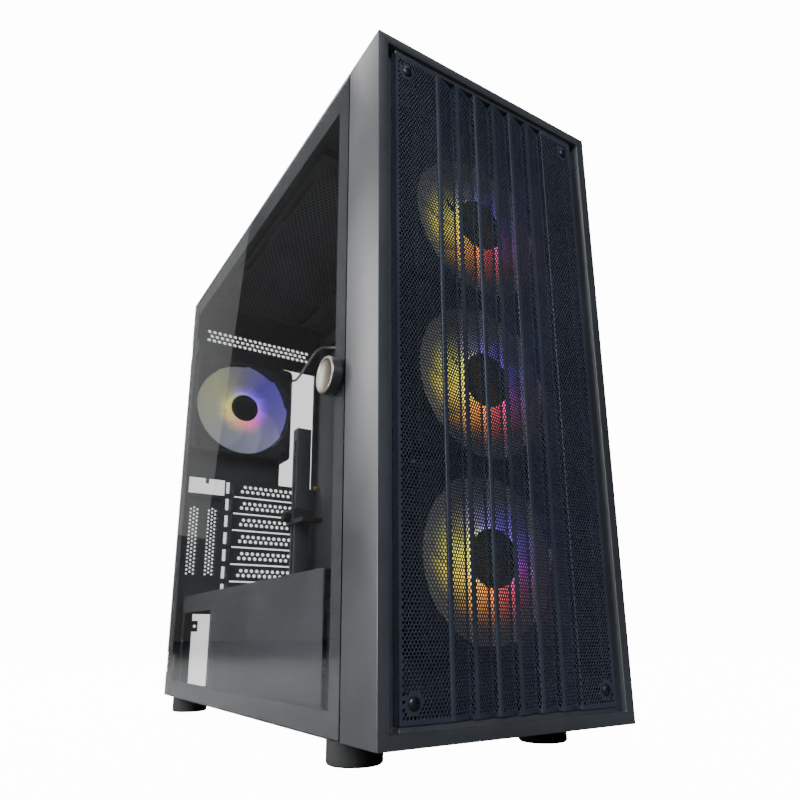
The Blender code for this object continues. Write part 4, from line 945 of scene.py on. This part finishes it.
def fan_hub(centre, front, cap):
    """Hub with a black cap that has a shallow groove, and a lit shoulder and wall round it."""
    return turned(
        (centre.x, front, centre.z), (0, 1, 0), HUB_PROFILE, 64,
        lambda along, away: int(away > cap and along < 0.018))


def fan_corners(centre):
    """The four screw places of a fan, as (x, z)."""
    return [(centre.x + i * FAN_SCREWS, centre.z + j * FAN_SCREWS) for i in (-1, 1) for j in (-1, 1)]


class TOWER_OT_fans(bpy.types.Operator):
    """Builds the four fans' rotors, frames and corner pads"""

    bl_idname = "tower.fans"
    bl_label = "Fans"

    def execute(self, context):
        hub_paint = coated("fan_hub_satin_black", finish().plastic, (0.30, 0.42), 900.0, 0.1, 0.1)
        for end, number, look, cap in FANS:
            rotor, housing = f"{end}_fan_rotor{number}", f"{end}_fan_frame{number}"
            low, _, centre = box_of(housing)
            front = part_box(rotor)[0].y
            lit = glowing_blade(f"{rotor}_glow", centre, *look)
            blades = fan_blades(centre, front, pattern().blades)
            add_piece(f"{rotor}_blades", blades, lit, node=rotor, angle=45.0)
            add_piece(f"{rotor}_hub", fan_hub(centre, front, cap), hub_paint, lit, node=rotor)
            refine(black_plastic(), 0.0005, housing, least=60.0)
            self.pads(housing, centre, low.y)
        return {"FINISHED"}

    def pads(self, housing, centre, front):
        """Rubber corner pads that stand a little proud of the frame's hollow corners."""
        shape = bmesh.new()
        for x, z in fan_corners(centre):
            join(shape, turned((x, front, z), (0, 1, 0), PAD_PROFILE, 24))
        add_piece(f"{housing}_pads", shape, rubber(), beside=housing)


def door_glass():
    """Tinted tempered glass that lets lamp light through without caustics."""
    material, tree, shader = new_material("tinted_door_glass")
    smudge = noise(tree, object_coordinates(tree), 7.0, 4.0)
    set_inputs(tree, shader.inputs, {
        "Roughness": spread(tree, smudge, 0.5, 0.75, 0.0, 0.03), "Base Color": finish().glass,
        "Metallic": 0.0, "Transmission Weight": 1.0, "IOR": 1.45})
    clear = add_node(tree, "BsdfTransparent", {"Color": shade(finish().glass, 0.95)})
    show(tree, add_node(tree, "LightPath").outputs["Is Shadow Ray"], shader, clear)
    return material


class TOWER_OT_glass_door(bpy.types.Operator):
    """Builds the glass, its printed border, the knob and the hinges"""

    bl_idname = "tower.glass_door"
    bl_label = "Glass door"

    def execute(self, context):
        self.glass()
        self.border()
        self.knob()
        refine(steel_paint(), 0.0002, "door_knob_nut", "hinge_leaf_lower", "hinge_leaf_upper",
               "hinge_bracket_lower", "hinge_bracket_upper")
        refine(bright_steel(), 0.0001, "hinge_pin_lower", "hinge_pin_upper")
        return {"FINISHED"}

    def glass(self):
        """Plate with ground edges, a hole for the knob's stem and notches for the hinges."""
        low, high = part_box("glass_door")
        plate = bmesh.new()
        add_block(plate, low, high)
        round_edges(plate, plate.edges[:], 0.0005, 1)
        tool = bmesh.new()
        for hinge in ("lower", "upper"):
            leaf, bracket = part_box(f"hinge_leaf_{hinge}"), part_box(f"hinge_bracket_{hinge}")
            add_block(
                tool, (low.x - 0.004, bracket[0].y - 0.0021, min(leaf[0].z, bracket[0].z) - 0.0005),
                (high.x + 0.004, high.y + 0.004, max(leaf[1].z, bracket[1].z) + 0.0005))
        stem = box_of("door_knob")[2]
        add_rod(tool, (high.x, stem.y, stem.z), (1, 0, 0), 0.0028, 0.02, 32)
        add_piece("glass_door_plate", cut(plate, tool), door_glass(), node="glass_door", angle=5.0)

    def border(self):
        """Thin print on the inner face, from the door's edge to its clear window."""
        shape = merged_copy("glass_door")
        low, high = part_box("glass_door")
        others = [face for face in shape.faces if face.calc_center_median().x < high.x - 1e-5]
        bmesh.ops.delete(shape, geom=others, context="FACES")
        front, rear, bottom, top = CORNER.y + 0.0606, CORNER.y + 0.4390, low.z + 0.0155, high.z - 0.0215
        for axis, position in ((1, front), (1, rear), (2, bottom), (2, top)):
            bisect(shape, axis, position)
        for axis in (1, 2):
            keep_between(shape, axis, low[axis] + PRINT_EDGE, high[axis] - PRINT_EDGE)
        clear = []
        for face in shape.faces:
            centre = face.calc_center_median()
            if front < centre.y < rear and bottom < centre.z < top:
                clear.append(face)
        bmesh.ops.delete(shape, geom=clear, context="FACES")
        bmesh.ops.solidify(shape, geom=shape.faces[:], thickness=-PRINT_THICKNESS)
        bmesh.ops.translate(shape, vec=(PRINT_THICKNESS / 2, 0, 0), verts=shape.verts)
        ink = coated("printed_glass_border", finish().border, (0.55, 0.68), 1800.0, 0.04, 0.1)
        add_piece("glass_door_border", shape, ink, beside="glass_door")

    def knob(self):
        """Round knob with a plated, slightly dished face, a black side and its stem."""
        low, high, centre = box_of("door_knob")
        radius = (high.z - low.z) / 2
        length = high.x - low.x
        shape = turned((low.x, centre.y, centre.z), (1, 0, 0), [
            (0.0005, 0.0), (0.0005, radius - 0.0030), (0.0003, radius - 0.0026), (0.0, radius - 0.0022),
            (0.0, radius - 0.0008), (0.0004, radius - 0.0002), (0.0010, radius), (0.0074, radius),
            (0.0079, radius - 0.0005), (0.0080, radius - 0.0012), (0.0080, 0.0026), (length, 0.0024),
            (length, 0.0)], 96, lambda along, away: int(along >= 0.00095 and away >= 0.009))
        face = brushed("champagne_knob_face", finish().knob, (0.26, 0.40), (900.0, 40.0, 1400.0), 0.04)
        side = coated("knob_black_side", shade(finish().plastic, 1.4), (0.34, 0.46), 1200.0, 0.05)
        add_piece("door_knob_finish", shape, face, side, node="door_knob", angle=40.0)


GRILLE_REACH = 0.0565
VENT_PITCH, VENT_HOLE = 0.0066, 0.0023
COVER_HOLE = 0.00215
UPRIGHT_COLUMN, UPRIGHT_ROW, UPRIGHT_HOLE = 0.0038, 0.0044, 0.00135


class TOWER_OT_rear_panel(bpy.types.Operator):
    """Punches the rear sheet and its slot covers, and sets the rear screws"""

    bl_idname = "tower.rear_panel"
    bl_label = "Rear panel"

    def execute(self, context):
        self.sheet()
        for number in range(1, 8):
            self.cover(f"slot_cover_{number}")
        for number in (1, 2):
            self.upright_cover(f"vertical_slot_cover_{number}")
        self.screws()
        return {"FINISHED"}

    def sheet(self):
        """Rear sheet with the round grille over the fan and the strip of vent holes above it."""
        middle, centre = box_of("rear_panel")[2].y, box_of("rear_fan_frame")[2]
        pitch, reach = pattern().grille_pitch, GRILLE_REACH
        tool = bmesh.new()
        for x, z in staggered(centre.x - reach, centre.x + reach, centre.z - reach, centre.z + reach, pitch):
            if math.hypot(x - centre.x, z - centre.z) + pitch / 2 < reach:
                add_rod(tool, (x, middle, z), (0, 1, 0), pitch * 0.42, 0.006, 6)
        start, end = spot(22.5, 0, 419.5), spot(155.5, 0, 436.0)
        for x, z in staggered(start.x, end.x, start.z, end.z, VENT_PITCH, rows=3):
            add_rod(tool, (x, middle, z), (0, 1, 0), VENT_HOLE, 0.006, 10)
        shape = cut(merged_copy("rear_panel"), tool)
        add_piece("rear_panel_finish", shape, steel_paint(), node="rear_panel")

    def cover(self, node):
        """Slot cover with two staggered rows of holes."""
        low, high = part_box(node)
        middle = (low.z + high.z) / 2
        pitch = pattern().cover_pitch
        rise = pitch * ROW_STEP / 2
        self.punch(node, COVER_HOLE, staggered(
            low.x + 0.0105, high.x - 0.0035, middle - rise, middle + rise, pitch, rows=2))

    def upright_cover(self, node):
        """Upright slot cover with three staggered columns of holes."""
        low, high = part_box(node)
        middle, start, end = (low.x + high.x) / 2, low.z + 0.008, high.z - 0.008
        self.punch(node, UPRIGHT_HOLE, [
            (middle + (column - 1) * UPRIGHT_COLUMN, start + (row + 0.5 * (column % 2)) * UPRIGHT_ROW)
            for column in range(3) for row in range(int((end - start) / UPRIGHT_ROW))])

    def punch(self, node, radius, centres):
        tool = bmesh.new()
        for x, z in centres:
            add_rod(tool, (x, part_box(node)[1].y - 0.0005, z), (0, 1, 0), radius, 0.004, 12)
        add_piece(f"{node}_finish", cut(merged_copy(node), tool), steel_paint(), node=node)

    def screws(self):
        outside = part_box("rear_panel")[1].y
        shape = bmesh.new()
        for x, z in fan_corners(box_of("rear_fan_frame")[2]):
            add_screw(shape, (x, outside, z), (0, 1, 0), 0.0035, 0.0014)
        add_piece("rear_fan_screws", shape, black_screw(), beside="rear_panel")


class TOWER_OT_chassis(bpy.types.Operator):
    """Finishes the chassis sheets, drive cage, card support and the parts behind the tray"""

    bl_idname = "tower.chassis"
    bl_label = "Chassis"

    def execute(self, context):
        refine(steel_paint(), 0.0003, "front_bulkhead", "motherboard_tray", "psu_shroud", "floor_panel",
               "drive_cage", "ssd_bracket", "support_post")
        refine(black_plastic(), 0.0004, "drive_tray_1", "drive_tray_2", "support_arm", "fan_controller")
        refine(black_screw(), 0.0004, "support_knob")
        self.stand_offs()
        self.grommets()
        self.lead()
        return {"FINISHED"}

    def stand_offs(self):
        """Nine brass stand-offs for a motherboard, on the tray's inner face."""
        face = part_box("motherboard_tray")[0].x
        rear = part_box("rear_panel")[0].y
        shape = bmesh.new()
        for back in (0.010, 0.160, 0.230):
            for up in (0.1135, 0.245, 0.395):
                place = Vector((face - 0.0033, rear - back, CORNER.z + up))
                add_rod(shape, place, (1, 0, 0), 0.0029, 0.0062, 6)
                add_rod(shape, place - Vector((0.0035, 0, 0)), (1, 0, 0), 0.0014, 0.0012, 12)
        add_piece("motherboard_stand_offs", shape, brass(), beside="motherboard_tray")

    def grommets(self):
        """Rubber lips round the tray's three cable openings."""
        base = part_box("motherboard_tray")[0].x - 0.0002
        lip, rise, corner = 0.0035, 0.0010, 0.003
        shape, tool = bmesh.new(), bmesh.new()
        for near, far in openings("cable_slot"):
            for body, margin, front, back in ((shape, lip, rise, 0.0), (tool, -0.0005, 4 * rise, 4 * rise)):
                made = add_block(
                    body, (base - front, near.y - margin, near.z - margin),
                    (base + back, far.y + margin, far.z + margin))
                along = {edge for vert in made for edge in vert.link_edges
                         if abs(edge.verts[0].co.x - edge.verts[1].co.x) > front / 2}
                round_edges(body, along, corner, 4)
        shape = soften(cut(shape, tool), 0.0003, 60.0)
        add_piece("cable_grommets", shape, rubber(), beside="motherboard_tray")

    def lead(self):
        """The rear fan's sleeved lead, from its frame's corner through the tray to the controller's plug."""
        housing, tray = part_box("rear_fan_frame"), box_of("motherboard_tray")[2]
        controller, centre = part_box("fan_controller"), box_of("fan_controller")[2]
        deep = housing[0].y + (housing[1].y - housing[0].y) / 3
        opening = Vector((tray.x, CORNER.y + LEAD_OPENING[0], CORNER.z + LEAD_OPENING[1]))
        start = Vector((housing[1].x + 0.0003, deep, housing[1].z - 0.008))
        socket = Vector((centre.x, controller[1].y + 0.0003, centre.z))
        spots = smooth_route([
            start, start + Vector((0.010, 0, 0.004)), opening + Vector((-0.0206, 0.004, -0.008)), opening,
            Vector((centre.x + LEAD_RADIUS, opening.y - 0.017, opening.z - 0.004)),
            socket + Vector((0, 0.010, 0)), socket], 0.004)
        line = bpy.data.curves.new("rear_fan_lead_sleeve", "CURVE")
        line.dimensions = "3D"
        line.bevel_depth = LEAD_RADIUS
        line.bevel_resolution = 4
        line.use_fill_caps = True
        spline = line.splines.new("POLY")
        spline.points.add(len(spots) - 1)
        for point, place in zip(spline.points, spots):
            point.co = (*place, 1.0)
        made = bpy.data.objects.new("rear_fan_lead_sleeve", line)
        bpy.context.scene.collection.objects.link(made)
        line.materials.append(coated(
            "pale_cable_sleeve", (0.50, 0.50, 0.51, 1.0), (0.5, 0.65), 1500.0, 0.5, 0.0))
        stand_for(made, "rear_fan_lead")
        plug = bmesh.new()
        low, high = Vector((-0.0030, 0.0001, -0.0040)), Vector((0.0030, 0.0070, 0.0040))
        add_block(plug, socket + low, socket + high)
        plug = soften(plug, 0.0004, 60.0)
        tip = add_piece("rear_fan_lead_plug", plug, black_plastic(), beside="rear_fan_lead")


class TOWER_OT_top(bpy.types.Operator):
    """Finishes the top sheet, its dust filter and the controls"""

    bl_idname = "tower.top"
    bl_label = "Top and controls"

    def execute(self, context):
        low, high, centre = box_of("top_dust_filter")
        half = (high - low) / 2
        under = (centre.x, centre.y, low.z - 0.0015)
        ceiling = coated(
            "perforated_ceiling_coat", finish().steel, (0.50, 0.62), 1100.0, 0.3,
            holes=punched_field(0.0046, 0.00155, under, half, 0.008, 0.0045))
        refine(ceiling, 0.0003, "top_panel")
        # The screen is coloured darker than the moulded plastic as painted shade, so the ceiling's slots
        # below it read dark.
        weave = coated(
            "filter_screen", shade(finish().plastic, 0.8), (0.5, 0.6), 900.0, 0.4,
            holes=punched_field(0.0016, 0.00058, centre, half, 0.007))
        refine(weave, 0.0005, "top_dust_filter")
        refine(black_plastic(), 0.0003, "port_housing")
        self.port_tongues()
        refine(bezel_paint(), 0.0004, "power_button", "reset_button")
        return {"FINISHED"}

    def port_tongues(self):
        """Contact tongues that stand in the ports."""
        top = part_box("port_housing")[1].z - 0.0012
        shape = bmesh.new()
        for near, far in openings("port_"):
            add_block(shape, (near.x + 0.0008, far.y - 0.0018, near.z - 0.0004),
                      (far.x - 0.0008, far.y - 0.0003, top))
        round_edges(shape, shape.edges[:], 0.0002)
        tongue = coated("port_tongue_blue", (0.03, 0.06, 0.22, 1.0), (0.4, 0.5), 1500.0, 0.05, 0.1)
        add_piece("port_tongues", shape, tongue, beside="port_housing")


class TOWER_OT_right_side(bpy.types.Operator):
    """Finishes the right panel and knurls its thumbscrews"""

    bl_idname = "tower.right_side"
    bl_label = "Right side"

    def execute(self, context):
        refine(panel_paint(), 0.0004, "right_side_panel")
        for node in ("thumbscrew_upper", "thumbscrew_lower"):
            self.thumbscrew(node)
        return {"FINISHED"}

    def thumbscrew(self, node):
        """Knurled head with a domed cap and a screwdriver slot, and its threaded shank."""
        low, high, centre = box_of(node)
        radius = (high.x - low.x) / 2
        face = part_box("right_side_panel")[1].y + 0.0005
        rim = high.y - 0.0012
        grip = bmesh.new()
        add_rod(grip, (centre.x, (face + rim) / 2, centre.z), (0, 1, 0), radius, rim - face, 60)
        sides = [item for item in grip.faces if len(item.verts) == 4]
        bmesh.ops.inset_individual(
            grip, faces=sides[::2], thickness=0.0001, depth=-0.0003, use_even_offset=True)
        cap = turned((centre.x, rim, centre.z), (0, 1, 0), [
            (0.0, 0.0), (0.0, radius - 0.0004), (0.0006, radius - 0.0007), (0.0012, radius - 0.0018),
            (0.0012, 0.0)], 40)
        tool = bmesh.new()
        add_block(tool, (centre.x - radius, high.y - 0.0009, centre.z - 0.0005),
                  (centre.x + radius, high.y + 0.001, centre.z + 0.0005))
        join(grip, cut(cap, tool))
        add_rod(grip, (centre.x, (low.y + face) / 2, centre.z), (0, 1, 0), 0.0015, face - low.y, 20)
        add_piece(f"{node}_finish", grip, black_screw(), node=node)


class TOWER_OT_underside(bpy.types.Operator):
    """Finishes the feet and the supply's dust filter"""

    bl_idname = "tower.underside"
    bl_label = "Underside"

    def execute(self, context):
        refine(rubber(), 0.0008, "foot_front_left", "foot_front_right", "foot_rear_left", "foot_rear_right")
        low, high, centre = box_of("psu_dust_filter")
        weave = coated(
            "supply_filter_screen", shade(finish().plastic, 1.6), (0.5, 0.6), 900.0, 0.4,
            holes=punched_field(0.0018, 0.00065, centre, (high - low) / 2, 0.006))
        refine(weave, 0.0003, "psu_dust_filter")
        return {"FINISHED"}


class TOWER_PT_panel(bpy.types.Panel):
    """Sizes, colours and steps of the tower"""

    bl_idname = "TOWER_PT_panel"
    bl_label = "Desktop tower"
    bl_space_type = "VIEW_3D"
    bl_region_type = "UI"
    bl_category = "Tower"

    def draw(self, context):
        for group in (context.scene.tower_finish, context.scene.tower_pattern, context.scene.tower_studio):
            column = self.layout.column(align=True)
            for name in type(group).__annotations__:
                column.prop(group, name)
        for step in STEPS:
            self.layout.operator(step.bl_idname)


STEPS = (
    TOWER_OT_camera, TOWER_OT_stage, TOWER_OT_bezel, TOWER_OT_front_mesh, TOWER_OT_fans, TOWER_OT_glass_door,
    TOWER_OT_rear_panel, TOWER_OT_chassis, TOWER_OT_top, TOWER_OT_right_side, TOWER_OT_underside)
SETTINGS = {"tower_finish": TowerFinish, "tower_pattern": TowerPattern, "tower_studio": TowerStudio}


def register():
    for name, group in SETTINGS.items():
        bpy.utils.register_class(group)
        setattr(bpy.types.Scene, name, bpy.props.PointerProperty(type=group))
    for step in STEPS:
        bpy.utils.register_class(step)
    bpy.utils.register_class(TOWER_PT_panel)


def unregister():
    bpy.utils.unregister_class(TOWER_PT_panel)
    for step in reversed(STEPS):
        bpy.utils.unregister_class(step)
    for name, group in reversed(SETTINGS.items()):
        delattr(bpy.types.Scene, name)
        bpy.utils.unregister_class(group)


def main():
    register()
    for step in STEPS:
        group, name = step.bl_idname.split(".")
        getattr(getattr(bpy.ops, group), name)()


if __name__ == "__main__":
    main()
